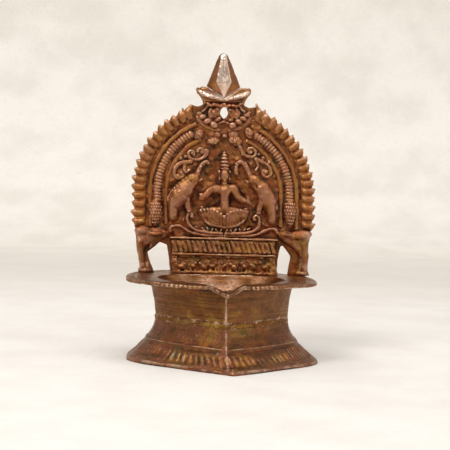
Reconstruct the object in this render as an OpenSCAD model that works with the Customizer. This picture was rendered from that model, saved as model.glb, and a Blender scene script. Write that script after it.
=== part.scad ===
// Cast oil lamp: a leaf-shaped oil bowl on a hollow waisted stand, with an arched,
// ornamented back plate riveted to the bowl's rim.
// +Z is up and the spout points along -Y. Millimetres.

/* [Stand] */
// Width of the rim and of the stand's edge, ear to ear
body_w = 72.6; // [62:0.1:86]
// Depth of rim and stand behind their widest line
back_d = 32; // [28:0.5:38]
// Depth of the stand in front of its widest line
front_d = 40; // [34:0.5:48]
// Height of the rim's top face
rim_z = 30.9; // [26:0.1:37]
// Height of the brazed seam between bowl and stand
waist_z = 16; // [13:0.1:19]
// Half-width of the waist at the seam
waist_r = 25.1; // [21:0.1:29]
// Half-width of the drum just under the rim
drum_r = 27.1; // [24:0.1:31]
// Height of the ledge above the tooled skirt
skirt_z = 7.8; // [6:0.1:9]
// Half-width of the stand at that ledge
skirt_r = 28.9; // [26:0.1:33]
// Wall thickness of the drum and the stand
wall = 2.2; // [1.6:0.1:3]
// Size of the brazing bead across the seam
bead = 0.9; // [0.5:0.1:1.4]

/* [Oil bowl] */
// Thickness of the rim flange
rim_t = 1.4; // [1.1:0.1:2]
// Half-width of the oil hollow at the rim
hollow_r = 24.6; // [22:0.1:26]
// Depth of the hollow behind the widest line
hollow_back = 16.6; // [13:0.1:20]
// Depth of the hollow in front of the widest line
hollow_front = 24.5; // [20:0.1:28]
// Depth of the oil hollow
hollow_d = 9.4; // [6:0.1:11]
// Depth of the rim's front edge, not counting the spout
lip_front = 31; // [28:0.5:36]
// Length of the spout beyond that edge
spout_len = 8.6; // [5:0.1:12]
// Half-width of the spout where it leaves the rim
spout_r = 9; // [6:0.1:12]
// How far the spout's lip dips below the rim
spout_dip = 1.8; // [0.5:0.1:3]

/* [Back plate] */
// Thickness of the plate
plate_t = 2.6; // [2:0.1:4]
// Thickness of the plate's two legs
leg_t = 4.4; // [3.6:0.1:5.4]
// Distance of the plate's rear face behind the widest line
plate_back = 22.2; // [21:0.1:24]
// Outer radius of the arch, without the tips of the rays
arch_r = 34.6; // [31:0.1:38]
// Height of the arch's centre above the throne
arch_rise = 17.3; // [15.5:0.1:20]
// Straight side of the arch below its centre
arch_drop = 14; // [12:0.1:15]
// Height of the throne above the rim
throne_h = 14.4; // [12.5:0.1:17]
// Half-width of the throne
throne_r = 20.6; // [18:0.1:21.5]
// Distance of each foot's centre inside the arch's edge
foot_in = 6.4; // [5.6:0.1:8.1]
// Width of each leg's foot
foot_w = 5.6; // [4.6:0.1:6.4]
// Radius of the leg rivets
rivet_r = 1.1; // [0.8:0.05:1.3]
// Radial clearance of a rivet in its hole
rivet_gap = 0.05; // [0.02:0.01:0.1]
// Depth of the rivet's hole in the leg
rivet_deep = 5; // [3.5:0.1:6]

/* [Ornament] */
// Number of rays round each half of the arch
rays_arc = 13; // [11:1:15]
// Number of rays down each straight side
rays_side = 4; // [3:1:5]
// Length of a ray
ray_len = 5.5; // [4.5:0.1:6]
// How far a ray stands out past the plate's edge
ray_proud = 1.2; // [0.6:0.1:1.8]
// Distance of the ribbed garland's middle line inside the arch's edge
garland_in = 8.8; // [8.4:0.1:9.6]
// Half-width of the garland
garland_h = 1.5; // [1.2:0.05:1.7]
// Number of ribs on each garland
garland_ribs = 22; // [14:1:26]
// Gap from the garland out to the middle of the outer moulding
outer_gap = 1.3; // [1.1:0.05:1.4]
// Gap from the garland in to the middle of the inner moulding
inner_gap = 1.9; // [1.6:0.1:2.2]
// Height of the finial's bud
bud_h = 13.2; // [10:0.1:17]
// Half-width of the finial's bud
bud_r = 6.3; // [5:0.1:7]

/* [Hidden] */

n_ring = 64;                       // points round each leaf-shaped ring
mid_y = (front_d - back_d) / 2;    // widest line, with the origin at the box's middle
body_r = body_w / 2;
plate_y = mid_y + plate_back;      // plate's rear face
front_y = plate_y - plate_t;       // plate's front face
leg_y = plate_y - leg_t / 2;       // middle of a leg, where its rivet goes
throne_z = rim_z + throne_h;       // top of the throne
arch_z = throne_z + arch_rise;     // centre of the arch
side_z = arch_z - arch_drop;       // lower end of the rays
neck_z = arch_z + arch_r + 1;      // top face of the plate's neck
foot_x = arch_r - foot_in;         // centre of each leg's foot from the middle
head_r = rivet_r * 1.8;            // a rivet's head
garland_r = arch_r - garland_in;   // radius of the garland's middle line
outer_r = garland_r + garland_h + outer_gap;
inner_r = garland_r - garland_h - inner_gap;
crest = arch_r / 34.6;             // scale of the crest, drawn for an arch of this radius
skin_gap = 0.02;                   // keeps neighbouring reliefs from sharing material
drum_p = 1.35;                     // how sharply the drum comes to its front ridge
edge_p = 1.5;                      // the same for the stand's edge
lip_t = 2.2;                       // metal left in front of the spout's channel

bronze = [0.50, 0.33, 0.22];
dark_bronze = [0.40, 0.26, 0.17];
brass = [0.66, 0.52, 0.26];
copper = [0.62, 0.38, 0.26];

// ---------- leaf-shaped rings ----------

// Forward reach of the spout at distance x from the middle, for a spout of half-width r.
function beak(x, r, len) = abs(x) < r ? len * pow(1 - abs(x) / r, 0.9) : 0;

// One point of a leaf: a squarish back and a pointed front. a runs from 0 to 360 degrees.
function leaf_point(a, w, b, f, p, s_r, s_len, dip, z) =
    let (c = cos(a), s = sin(a))
    s >= 0
        ? [w * sign(c) * pow(abs(c), 2 / 3), mid_y + b * pow(s, 2 / 3), z]
        : let (t = -s, x = sign(c) * w * (1 - pow(t, p)), k = beak(x, max(s_r, 0.01), 1))
          [x, mid_y - f * t - s_len * k, z - dip * k * k];

// A ring is [w, back, front, p, spout half-width, spout length, dip, z].
function leaf_ring(g) =
    [for (i = [0:n_ring - 1])
        leaf_point(i * 360 / n_ring, g[0], g[1], g[2], g[3], g[4], g[5], g[6], g[7])];

// Faces between ring k and the next one.
function band_faces(k, next) =
    [for (i = [0:n_ring - 1])
        let (j = (i + 1) % n_ring, a = k * n_ring, b = next * n_ring)
        each [[a + i, b + j, b + i], [a + i, a + j, b + j]]];

// Closed skin through a list of rings, shut with a point at each end.
module skin_capped(rings, first, last) {
    pts = [for (g = rings) each leaf_ring(g)];
    m = len(rings);
    n = m * n_ring;
    faces = concat(
        [for (k = [0:m - 2]) each band_faces(k, k + 1)],
        [for (i = [0:n_ring - 1]) [n, (i + 1) % n_ring, i]],
        [for (i = [0:n_ring - 1])
            [n + 1, (m - 1) * n_ring + i, (m - 1) * n_ring + (i + 1) % n_ring]]);
    polyhedron(concat(pts, [first, last]), faces);
}

// Closed skin through a list of rings whose last ring joins the first.
module skin_loop(rings) {
    pts = [for (g = rings) each leaf_ring(g)];
    m = len(rings);
    polyhedron(pts, [for (k = [0:m - 1]) each band_faces(k, (k + 1) % m)]);
}

// Plain ring without a spout: half-width w, its depths in proportion, at height z.
function plain(w, z, p) =
    [w, w * back_d / body_r, w * front_d / body_r, p, 0, 0, 0, z];

// Half-width of the waisted wall at height z, between two levels, easing out of the waist.
function flare(z, z0, r0, z1, r1) = r0 + (r1 - r0) * pow((z - z0) / (z1 - z0), 1.9);

seam_low = waist_z - bead;
seam_high = waist_z + bead;
edge_z = 1;              // height of the stand's upright edge
function stand_r(z) = z >= skirt_z
    ? flare(z, waist_z, waist_r, skirt_z, skirt_r)
    : skirt_r + (body_r - skirt_r) * pow((skirt_z - z) / (skirt_z - edge_z), 1.15);
function drum_half(z) = flare(z, waist_z, waist_r, rim_z - rim_t, drum_r);

// ---------- stand, bowl and the seam between them ----------

module foot() {
    mid_z = (seam_low + skirt_z) / 2;
    drum = [for (z = [waist_z, seam_low, mid_z, skirt_z + 0.6]) plain(stand_r(z), z, drum_p)];
    skirt = [for (z = [skirt_z - 0.2, skirt_z * 0.65, skirt_z * 0.35, edge_z])
        plain(stand_r(z), z, edge_p)];
    edge = plain(body_r - 0.3, 0, edge_p);
    inner = [for (z = [0, skirt_z * 0.35, skirt_z, mid_z, waist_z])
        plain(stand_r(max(z, edge_z)) - wall, z, z > skirt_z ? drum_p : edge_p)];
    color(bronze) skin_loop(concat(drum, skirt, [edge], inner));
}

// Rim ring, drawn in by inset from the rim's outline.
function rim_ring(inset, z) =
    [body_r - inset, back_d - inset, lip_front - inset, 2,
     spout_r, spout_len, spout_dip, z];

// Height of the hollow's surface where it is s times as wide as at the rim.
function dish_z(s) = rim_z - hollow_d * (1 - pow(s, 2.6));

// Hollow ring: s is 1 at the rim and 0 at the bottom. The spout's channel runs out of it.
function hollow_ring(s) =
    let (channel = lip_front + spout_len - lip_t - hollow_front)
    [hollow_r * s, hollow_back * s, hollow_front * s, 1.8,
     spout_r * 0.8 * s, channel * pow(s, 7.6), spout_dip * pow(s, 20), dish_z(s)];

// The same ring on the hollow's underside, without the channel.
function belly_ring(s) =
    [hollow_r * s, hollow_back * s, hollow_front * s, 1.8, 0, 0, 0, dish_z(s) - wall];

module bowl_shell() {
    under_z = rim_z - rim_t;
    dish = [for (s = [0.3, 0.52, 0.7, 0.82, 0.9, 0.96, 1]) hollow_ring(s)];
    flange = [rim_ring(0.4, rim_z), rim_ring(0, rim_z - 0.5),
        rim_ring(0, under_z + 0.4), rim_ring(0.5, under_z)];
    drum = [for (t = [0, 0.3, 0.65, 1])
        let (z = under_z + (seam_high - under_z) * t) plain(drum_half(z), z, drum_p)];
    belly_top = dish_z(0.82) - wall;
    inside = [for (z = [waist_z, seam_high, (seam_high + belly_top) / 2, belly_top])
        plain(drum_half(z) - wall, z, drum_p)];
    belly = [for (s = [0.82, 0.66, 0.46, 0.26]) belly_ring(s)];
    skin_capped(concat(dish, flange, drum, [plain(waist_r, waist_z, drum_p)], inside, belly),
        [0, mid_y, rim_z - hollow_d], [0, mid_y, rim_z - hollow_d - wall]);
}

module bowl() {
    color(bronze) difference() {
        bowl_shell();
        for (side = [-1, 1]) translate([side * foot_x, leg_y, rim_z - rim_t - 1]) {
            cylinder(r = rivet_r + rivet_gap, h = rim_t + 2, $fn = 32);
            // Room for the head, should the drum stand close to it.
            cylinder(r = head_r + rivet_gap, h = 1, $fn = 32);
        }
    }
}

// Filler metal run round the seam; its inner face is the wall itself.
module waist_braze() {
    crown_r = waist_r + bead * 0.6;
    color(brass) skin_loop([
        plain(drum_half(seam_high), seam_high, drum_p),
        plain(crown_r, waist_z + bead * 0.4, drum_p),
        plain(crown_r, waist_z - bead * 0.4, drum_p),
        plain(stand_r(seam_low), seam_low, drum_p),
        plain(waist_r, waist_z, drum_p)]);
}

// ---------- back plate ----------

// Corner cutting, run k times, turns a rough outline into a rounded one.
function rounded(p, k) = k == 0 ? p : rounded(
    [for (i = [0:len(p) - 1]) let (q = p[(i + 1) % len(p)])
        each [p[i] * 0.75 + q * 0.25, p[i] * 0.25 + q * 0.75]], k - 1);

// Draws in the plate's plane: x sideways, y up, and z out of the plate's front face.
module on_plate(z = 0, y = front_y) {
    translate([0, y, z]) rotate([90, 0, 0]) children();
}

module both_sides() {
    children();
    mirror([1, 0, 0]) children();
}

// Right-hand leg, from under the rays down to its foot on the rim.
module leg_outline() {
    knee = arch_r - 1.2;
    h = side_z - rim_z;
    polygon(concat(
        [[foot_x - foot_w / 2, 0], [foot_x + foot_w / 2, 0]],
        [[knee - 0.4, h * 0.3], [knee + 0.2, h * 0.5], [knee - 0.2, h * 0.75],
         [arch_r, h], [arch_r, h + 1], [throne_r - 2, h + 1]],
        [[throne_r - 2, h * 0.72], [throne_r + 1.6, h * 0.72], [throne_r + 3.6, h * 0.7],
         [foot_x - 0.7, h * 0.55], [foot_x, h * 0.4], [foot_x - 1, h * 0.2]]));
}

module plate_outline() {
    intersection() {
        translate([0, arch_z]) circle(r = arch_r, $fn = 128);
        translate([-arch_r, arch_z]) square([2 * arch_r, arch_r]);
    }
    translate([-arch_r, side_z]) square([2 * arch_r, arch_drop]);
    polygon([[-8, neck_z], [-7.7, neck_z - 1], [-8.6, neck_z - 2.2], [-12.4, neck_z - 4.2],
        [12.4, neck_z - 4.2], [8.6, neck_z - 2.2], [7.7, neck_z - 1], [8, neck_z]]);
    translate([-throne_r + 0.4, rim_z]) square([2 * throne_r - 0.8, side_z - rim_z + 0.5]);
}

// Pierced slot in the crest.
module crest_slot() {
    translate([0, neck_z]) scale(crest) {
        translate([0, -5.4]) circle(r = 0.9, $fn = 24);
        translate([0, -3]) circle(r = 0.7, $fn = 24);
        translate([-0.7, -5.4]) square([1.4, 2.4]);
    }
}

module back_plate() {
    color(bronze) difference() {
        union() {
            on_plate(0, plate_y) linear_extrude(plate_t) plate_outline();
            both_sides() on_plate(rim_z, plate_y) linear_extrude(leg_t) intersection() {
                leg_outline();
                translate([throne_r + 0.6, 0]) square([20, side_z - rim_z]);
            }
            both_sides() on_plate(rim_z, plate_y) linear_extrude(plate_t) leg_outline();
        }
        on_plate(0, plate_y + 1) linear_extrude(plate_t + 2) crest_slot();
        for (side = [-1, 1]) translate([side * foot_x, leg_y, rim_z - 1])
            cylinder(r = rivet_r + rivet_gap, h = rivet_deep + 1, $fn = 32);
    }
}

// Dome-headed rivets driven up through the rim into the legs.
module leg_rivets() {
    head_h = 0.9;
    color(copper) for (side = [-1, 1])
        translate([side * foot_x, leg_y, rim_z - rim_t]) rotate_extrude($fn = 48)
            polygon([[0, -head_h], [head_r * 0.6, -head_h * 0.8], [head_r * 0.9, -head_h * 0.4],
                [head_r, 0], [rivet_r, 0], [rivet_r, rim_t + rivet_deep - 0.4],
                [rivet_r * 0.7, rim_t + rivet_deep - 0.1], [0, rim_t + rivet_deep - 0.1]]);
}

// ---------- rays, mouldings and garlands round the arch ----------

// One ray lying along +X from r0, half buried in the plate, tapering inwards.
module ray(len, r_in, r_out) {
    rotate([0, 90, 0]) rotate([0, 0, 90]) rotate_extrude(angle = 180, $fn = 32)
        polygon([[0, 0], [r_in * 0.7, 0], [r_in, 0.5], [r_out, len - 1.2],
            [r_out * 0.86, len - 0.45], [r_out * 0.5, len - 0.1], [0, len]]);
}

ray_first = 21.5;                                // degrees from the top to the first ray
ray_step = (90 - ray_first) / rays_arc;
ray_start = arch_r + ray_proud - ray_len;        // radius of the rays' inner ends
ray_tip = (arch_r - 1.2) * sin(ray_step / 2) - skin_gap;
ray_base = ray_start * sin(ray_step / 2) - skin_gap;

module rays_right() {
    drop = (arch_drop - 0.4) / rays_side;
    color(bronze) on_plate(arch_z) {
        for (i = [0:rays_arc - 1])
            rotate([0, 0, 90 - ray_first - (i + 0.5) * ray_step])
                translate([ray_start, 0, 0]) ray(ray_len, ray_base, ray_tip);
        for (i = [0:rays_side - 1])
            translate([ray_start, -(i + 0.5) * drop, 0])
                ray(ray_len, drop / 2 - 0.1, drop / 2 - skin_gap);
    }
}

module rays_left() { mirror([1, 0, 0]) rays_right(); }

// Half-round moulding of radius r, from angle a0 off the top to the side, then down.
module arch_moulding(r, h, a0, down) {
    half = [for (i = [0:6]) [r + h * cos(i * 30), h * sin(i * 30)]];
    rotate_extrude(angle = 90 - a0, $fn = 96) polygon(half);
    rotate([90, 0, 0]) linear_extrude(down) polygon(half);
}

moulding_h = 0.5;
module outer_moulding() {
    color(bronze) on_plate(arch_z) both_sides()
        arch_moulding(outer_r, moulding_h, 22, arch_drop - 0.5);
}

module inner_moulding() {
    color(bronze) on_plate(arch_z) both_sides()
        arch_moulding(inner_r, moulding_h - 0.05, 23, arch_drop - 1.5);
}

garland_first = 28;      // degrees from the top to the garland's upper end
garland_tail = 3.4;      // straight length below the arch's centre
tassel_h = arch_drop - garland_tail - 0.8;

// One barrel-shaped bead of the garland, centred on the origin, with its axis along Y.
module barrel(r, h) {
    rotate([-90, 0, 0]) rotate([0, 0, 180]) rotate_extrude(angle = 180, $fn = 24)
        polygon([[0, -h / 2], [r * 0.82, -h / 2], [r, -h / 5], [r, h / 5], [r * 0.82, h / 2],
            [0, h / 2]]);
}

module garland_right() {
    step = (90 - garland_first) / garland_ribs;
    chord = 2 * (garland_r - garland_h * 0.8) * tan(step / 2) - skin_gap;
    color(copper) on_plate(arch_z) {
        for (i = [0:garland_ribs - 1])
            rotate([0, 0, 90 - garland_first - (i + 0.5) * step])
                translate([garland_r, 0, 0]) barrel(garland_h, chord);
        for (i = [0:2]) translate([garland_r, -(i + 0.5) * garland_tail / 3, 0])
            barrel(garland_h, garland_tail / 3 - skin_gap);
    }
}

module garland_left() { mirror([1, 0, 0]) garland_right(); }

// Bud-shaped tassel that ends the garland.
module tassel_right() {
    t_r = garland_h * 1.42;
    shape = [[0, 0], [0.5, 0.12], [0.62, 0.3], [0.9, 0.42], [0.78, 0.5], [1, 0.68],
        [0.86, 0.76], [0.98, 0.86], [0.7, 0.96], [0.5, 1], [0, 1]];
    color(copper) on_plate(arch_z - garland_tail - tassel_h)
        translate([garland_r, 0, 0]) rotate([-90, 0, 0]) rotate([0, 0, 180])
            rotate_extrude(angle = 180, $fn = 32)
                polygon([for (q = shape) [q[0] * t_r, q[1] * (tassel_h - skin_gap)]]);
}

module tassel_left() { mirror([1, 0, 0]) tassel_right(); }

// ---------- swept tubes ----------

function unit(v) = v / norm(v);

// Tube along flat points p of [x, y], with a radius at each point, flattened onto the plate.
module tube(p, r, sides = 8) {
    m = len(p);
    dir = [for (i = [0:m - 1]) unit(p[min(i + 1, m - 1)] - p[max(i - 1, 0)])];
    pts = [for (i = [0:m - 1], k = [0:sides - 1])
        let (a = k * 360 / sides)
        [p[i][0] - dir[i][1] * r[i] * cos(a), p[i][1] + dir[i][0] * r[i] * cos(a),
         r[i] * sin(a)]];
    polyhedron(pts, concat(
        [for (i = [0:m - 2], k = [0:sides - 1])
            let (a = i * sides + k, b = i * sides + (k + 1) % sides)
            each [[a, a + sides, b + sides], [a, b + sides, b]]],
        [[for (k = [0:sides - 1]) k],
         [for (k = [sides - 1:-1:0]) (m - 1) * sides + k]]));
}

// Front half of whatever is drawn on the plate.
module above_plate() {
    intersection() {
        children();
        translate([-60, -60, 0]) cube([120, 120, 30]);
    }
}

// Open corner cutting that keeps both ends, for the middle line of a stem.
function stem(p, k) = k == 0 ? p : stem(concat([p[0]],
    [for (i = [0:len(p) - 2]) each [p[i] * 0.75 + p[i + 1] * 0.25, p[i] * 0.25 + p[i + 1] * 0.75]],
    [p[len(p) - 1]]), k - 1);

function volute(c, r0, r1, a0, turns, steps) =
    [for (i = [0:steps])
        let (t = i / steps, r = r0 + (r1 - r0) * t, a = a0 + turns * 360 * t)
        c + r * [cos(a), sin(a)]];

module tapered(p, r0, r1) {
    m = len(p) - 1;
    tube(p, [for (i = [0:m]) r0 + (r1 - r0) * i / m]);
}

// ---------- figures inside the arch, drawn from the throne's top upwards ----------

// The figures are drawn for a field this wide and this tall, and shrink or grow to fit theirs.
drawn_r = 22.4;
drawn_h = 39.7;
field = min(inner_r / drawn_r, (arch_rise + inner_r) / drawn_h);

module in_field() {
    on_plate(throne_z) scale(field) children();
}

module limb(a, ra, b, rb, $fn = 12) {
    hull() {
        translate(a) sphere(ra);
        translate(b) sphere(rb);
    }
}

module ball(p, r, stretch = [1, 1, 1], $fn = 16) {
    translate(p) scale(stretch) sphere(r);
}

// Leaf scroll of two volutes that fills the corner of the arch.
module scroll_right() {
    upper = volute([10.2, 32.6], 2.4, 0.8, 200, -1.25, 20);
    lower = volute([16.3, 26], 2.4, 0.8, 120, -1.25, 20);
    color(copper) in_field() above_plate() union() {
        tapered(upper, 0.55, 0.4);
        tapered(lower, 0.55, 0.4);
        ball([10.2, 32.6, 0.2], 0.8);
        ball([16.3, 26, 0.2], 0.8);
        tapered(stem([[12.2, 31.6], [13.8, 30.8], [14.6, 29.4], [15, 28.2]], 1), 0.6, 0.5);
        tapered(stem([[18.4, 25.2], [19.6, 23.4], [20, 21.4], [19.8, 19.4]], 1), 0.5, 0.3);
    }
}

module scroll_left() { mirror([1, 0, 0]) scroll_right(); }

// Elephant rearing towards the middle, with its trunk raised.
module elephant_right() {
    color(copper) in_field() above_plate() union() {
        limb([18.3, 13.8, 0.3], 2.7, [16, 17.2, 0.4], 2.8);
        limb([16, 17.2, 0.4], 2.8, [13.5, 20, 0.4], 2.5);
        limb([13.5, 20, 0.4], 2.5, [11.2, 21.9, 0.5], 1.9);
        limb([11.2, 21.9, 0.5], 1.7, [9.6, 24, 0.3], 1.2);
        limb([9.6, 24, 0.3], 1.2, [9.2, 26.8, 0.2], 0.8);
        limb([9.2, 26.8, 0.2], 0.8, [7.9, 28.4, 0.2], 0.65);
        limb([7.9, 28.4, 0.2], 0.6, [6.3, 28.4, 0.2], 0.5);
        limb([19.2, 13, 0.3], 1.9, [19, 9.6, 0.3], 1.4);
        limb([19, 9.6, 0.3], 1.4, [19.1, 7.2, 0.3], 1.3);
        limb([14.4, 17.2, 0.8], 1.2, [13.6, 13.6, 0.5], 0.9);
        limb([13.6, 13.6, 0.5], 0.9, [13.3, 11.2, 0.4], 0.8);
        ball([13.2, 20.6, 1.9], 1.3, [0.8, 1.2, 0.5]);
    }
}

module elephant_left() { mirror([1, 0, 0]) elephant_right(); }

lotus_n = 6;             // petals each side of the middle one
lotus_r = 9.2;
// Ribbed, boat-shaped lotus seat.
module lotus_petals() {
    for (i = [-lotus_n:lotus_n]) {
        x = i * lotus_r / (lotus_n + 0.3);
        rise = pow(abs(x) / lotus_r, 2);
        low = 4.6 + 3.4 * pow(rise, 1.5);
        high = 9.8 + 2.2 * rise;
        translate([x, (low + high) / 2, 0.4]) rotate([0, 0, -x * 1.2])
            scale([0.95, (high - low) / 2, 2.2 - rise]) sphere(1, $fn = 14);
    }
    ball([0, 8, 0], 1, [8, 2.4, 1.8]);
}

module lotus_seat() {
    color(copper) in_field() above_plate() union() lotus_petals();
}

module goddess() {
    color(copper) in_field() above_plate() difference() {
        union() {
            for (s = [-1, 1]) {
                limb([s * 1.4, 11.6, 1.2], 1.5, [s * 5.6, 12.6, 1.5], 1.3);
                limb([s * 5.6, 12.4, 1.5], 1.2, [s * 1, 10.9, 2.2], 0.9);
                limb([s * 3.4, 19.2, 0.9], 1.1, [s * 5.6, 17, 0.9], 0.85);
                limb([s * 5.6, 17, 0.9], 0.8, [s * 7.4, 15.4, 1.2], 0.75);
                limb([s * 5.4, 18.4, 0.5], 0.7, [s * 7.3, 20.4, 0.5], 0.6);
                ball([s * 7.7, 21.6, 0.5], 0.95);
                ball([s * 1.5, 18.1, 1.7], 1.05);
            }
            limb([0, 12, 1.2], 1.9, [0, 15, 1], 1.5);
            limb([0, 15, 1], 1.5, [0, 18.6, 1], 2);
            limb([-2.6, 19.4, 0.9], 1, [2.6, 19.4, 0.9], 1);
            limb([0, 19.6, 1], 0.9, [0, 21.4, 1.1], 0.85);
            ball([0, 23.3, 1.3], 1.75, [0.95, 1.15, 1]);
            limb([0, 25, 1], 1.8, [0, 27, 1], 1.5);
            limb([0, 27.4, 0.9], 1.5, [0, 29.4, 0.8], 1.1);
            limb([0, 29.8, 0.8], 1.1, [0, 32, 0.6], 0.6);
        }
        lotus_petals();
    }
}

// Flowering stem that curls up beside the lotus, and the wavy hem below it.
module vine_right() {
    rise = stem([[0.9, 1.7], [6, 1.7], [11, 1.8], [14.8, 3.6], [15.4, 6.6], [13.6, 8.6],
        [12.5, 7.4], [13.2, 6.4]], 2);
    hem_end = (throne_r - 0.3) / field;
    hem = stem([[12.6, 0.9], [14.8, 2], [16.6, 3.9], [18.6, 4.4], [hem_end, 3]], 2);
    color(copper) in_field() above_plate() union() {
        tapered(rise, 0.75, 0.5);
        ball([13.3, 7.1, 0.3], 0.9);
        tapered(hem, 0.45, 0.55);
        for (x = [2.6, 5]) limb([x, 1.9, 0.4], 0.7, [x + 1.2, 3.1, 0.4], 0.45);
    }
}

module vine_left() { mirror([1, 0, 0]) vine_right(); }

// ---------- throne ----------

cornice_h = 1.1;
band_h = 1;
petal_h = (throne_h - cornice_h - band_h) * 0.42;
frieze_h = throne_h - cornice_h - band_h - petal_h;

module throne_cornice() {
    color(bronze) on_plate(throne_z - cornice_h) linear_extrude(2.4)
        translate([-throne_r, 0]) square([2 * throne_r, cornice_h]);
}

// Cushion course with a row of slanting petals.
module throne_petals() {
    n = 20;
    step = 2 * (throne_r - 0.6) / n;
    color(bronze) on_plate(rim_z + frieze_h + band_h) {
        translate([-throne_r + 0.5, 0, 0]) cube([2 * throne_r - 1, petal_h, 1.2]);
        for (i = [0:n - 1])
            translate([-throne_r + 0.6 + (i + 0.5) * step, 0, 1.2])
                rotate([-90, 0, 0]) rotate([0, 0, 180]) rotate_extrude(angle = 180, $fn = 24)
                    polygon([[0, 0.1], [step * 0.34, 0.3], [step * 0.46, petal_h / 2],
                        [step * 0.34, petal_h - 0.4], [0, petal_h - 0.1]]);
    }
}

module throne_band() {
    color(bronze) on_plate(rim_z + frieze_h) linear_extrude(2.2)
        translate([-throne_r + 0.2, 0]) square([2 * throne_r - 0.4, band_h]);
}

// Lower course with worn crouching figures between end blocks.
module throne_frieze() {
    color(dark_bronze) on_plate(rim_z) {
        translate([-throne_r + 0.6, 0, 0]) cube([2 * throne_r - 1.2, frieze_h, 1]);
        for (s = [-1, 1]) translate([s * (throne_r - 1.8) - 1.2, 0, 1])
            cube([2.4, frieze_h, 0.9]);
        for (i = [-3:3]) {
            translate([i * 4.9, frieze_h * 0.36, 0.9]) intersection() {
                sphere(r = 1.9, $fn = 24);
                translate([-3, -2.4, 0]) cube([6, 5, 1.4]);
            }
            translate([i * 4.9 + 1.1, frieze_h * 0.72, 0.9]) intersection() {
                sphere(r = 1.2, $fn = 24);
                translate([-2, -2, 0]) cube([4, 4, 1.2]);
            }
        }
    }
}

// ---------- crest and finial ----------

// Grotesque mask's brow and cheeks, pierced through the middle.
module crest_mask() {
    half = [[7.4, -0.2], [6.2, -3.6], [4.6, -5.8], [1.6, -7]];
    brow = concat([for (q = half) [-q[0], q[1]]], [for (i = [3:-1:0]) half[i]]);
    color(bronze) on_plate() difference() {
        translate([0, neck_z, 0]) scale([crest, crest, 1]) {
            linear_extrude(1.5) polygon(rounded(brow, 1));
            for (s = [-1, 1]) translate([s * 3.2, -4, 1.5])
                intersection() {
                    sphere(r = 1.3, $fn = 24);
                    translate([-2, -2, 0]) cube(4);
                }
        }
        translate([0, 0, -1]) linear_extrude(5) crest_slot();
    }
}

// Strings of beads that hang from the mask in a shallow U.
module crest_beads() {
    string = [[9.2, -5, 1], [7.7, -6.5, 1.05], [6, -7.8, 1.15], [3.6, -9.2, 1.4]];
    color(copper) on_plate(neck_z) scale(crest) above_plate() {
        both_sides() for (q = string)
            translate([q[0], q[1], 0.35]) sphere(r = q[2], $fn = 24);
        translate([0, -9, 0.3]) sphere(r = 0.95, $fn = 24);
        translate([0, -13.2, 0.3]) sphere(r = 0.95, $fn = 24);
    }
}

// Leafy lobes where the two garlands meet under the mask.
module crest_lobes() {
    color(copper) on_plate(neck_z) scale(crest) above_plate() both_sides() {
        ball([9.4, -12.6, 0.2], 1, [1.7, 1.8, 1.7]);
        ball([4.2, -15, 0.2], 1, [2.6, 2, 1.9]);
    }
}

finial_y = plate_y - plate_t / 2;
finial_t = 5.2;          // depth of the collar and of the bud's foot
notch_z = 1.7;           // height of the bud's lowest point above the neck
notch_rise = 0.42;       // slope of the notch that the bud sits in

// Two upturned petals under the bud, with a notch between them.
module finial_collar() {
    half = [[7.9, 0], [8.3, 1], [9.2, 2.3], [10.3, 3.8], [10, 4.8], [8.8, 5.2],
        [bud_r, notch_z + bud_r * notch_rise]];
    color(bronze) translate([0, finial_y + finial_t / 2, neck_z]) rotate([90, 0, 0])
        linear_extrude(finial_t)
            polygon(concat(half, [[0, notch_z]], [for (i = [6:-1:0]) [-half[i][0], half[i][1]]]));
}

// Pointed bud with planed facets.
module finial_bud() {
    far = 12;
    color(bronze) translate([0, finial_y, neck_z + notch_z]) difference() {
        union() {
            scale([1, finial_t / 2 / bud_r, 1]) {
                cylinder(r1 = bud_r * 1.2, r2 = bud_r, h = 2.6, $fn = 8);
                translate([0, 0, 2.6]) cylinder(r1 = bud_r, r2 = bud_r * 0.36, h = bud_h, $fn = 8);
                translate([0, 0, bud_h + 2]) sphere(r = bud_r * 0.34, $fn = 16);
            }
        }
        rotate([90, 0, 0]) linear_extrude(far, center = true) both_sides()
            polygon([[0, -1], [far, -1], [far, far * notch_rise], [0, 0]]);
    }
}

foot();
bowl();
waist_braze();
back_plate();
leg_rivets();
rays_left();
rays_right();
outer_moulding();
inner_moulding();
garland_left();
garland_right();
tassel_left();
tassel_right();
scroll_left();
scroll_right();
elephant_left();
elephant_right();
goddess();
lotus_seat();
vine_left();
vine_right();
throne_cornice();
throne_petals();
throne_band();
throne_frieze();
crest_mask();
crest_beads();
crest_lobes();
finial_collar();
finial_bud();
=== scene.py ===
"""Looks of a small cast bronze oil lamp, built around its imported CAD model.

The lamp's lengths are in millimetres and its meshes are scaled to metres as they are made; the
room, lights and camera are in metres. The reliefs are modelled as distance fields on a block of
points and skinned, like wax on a pattern.
"""

import bpy
import numpy as np
from mathutils import Matrix, Vector


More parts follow.
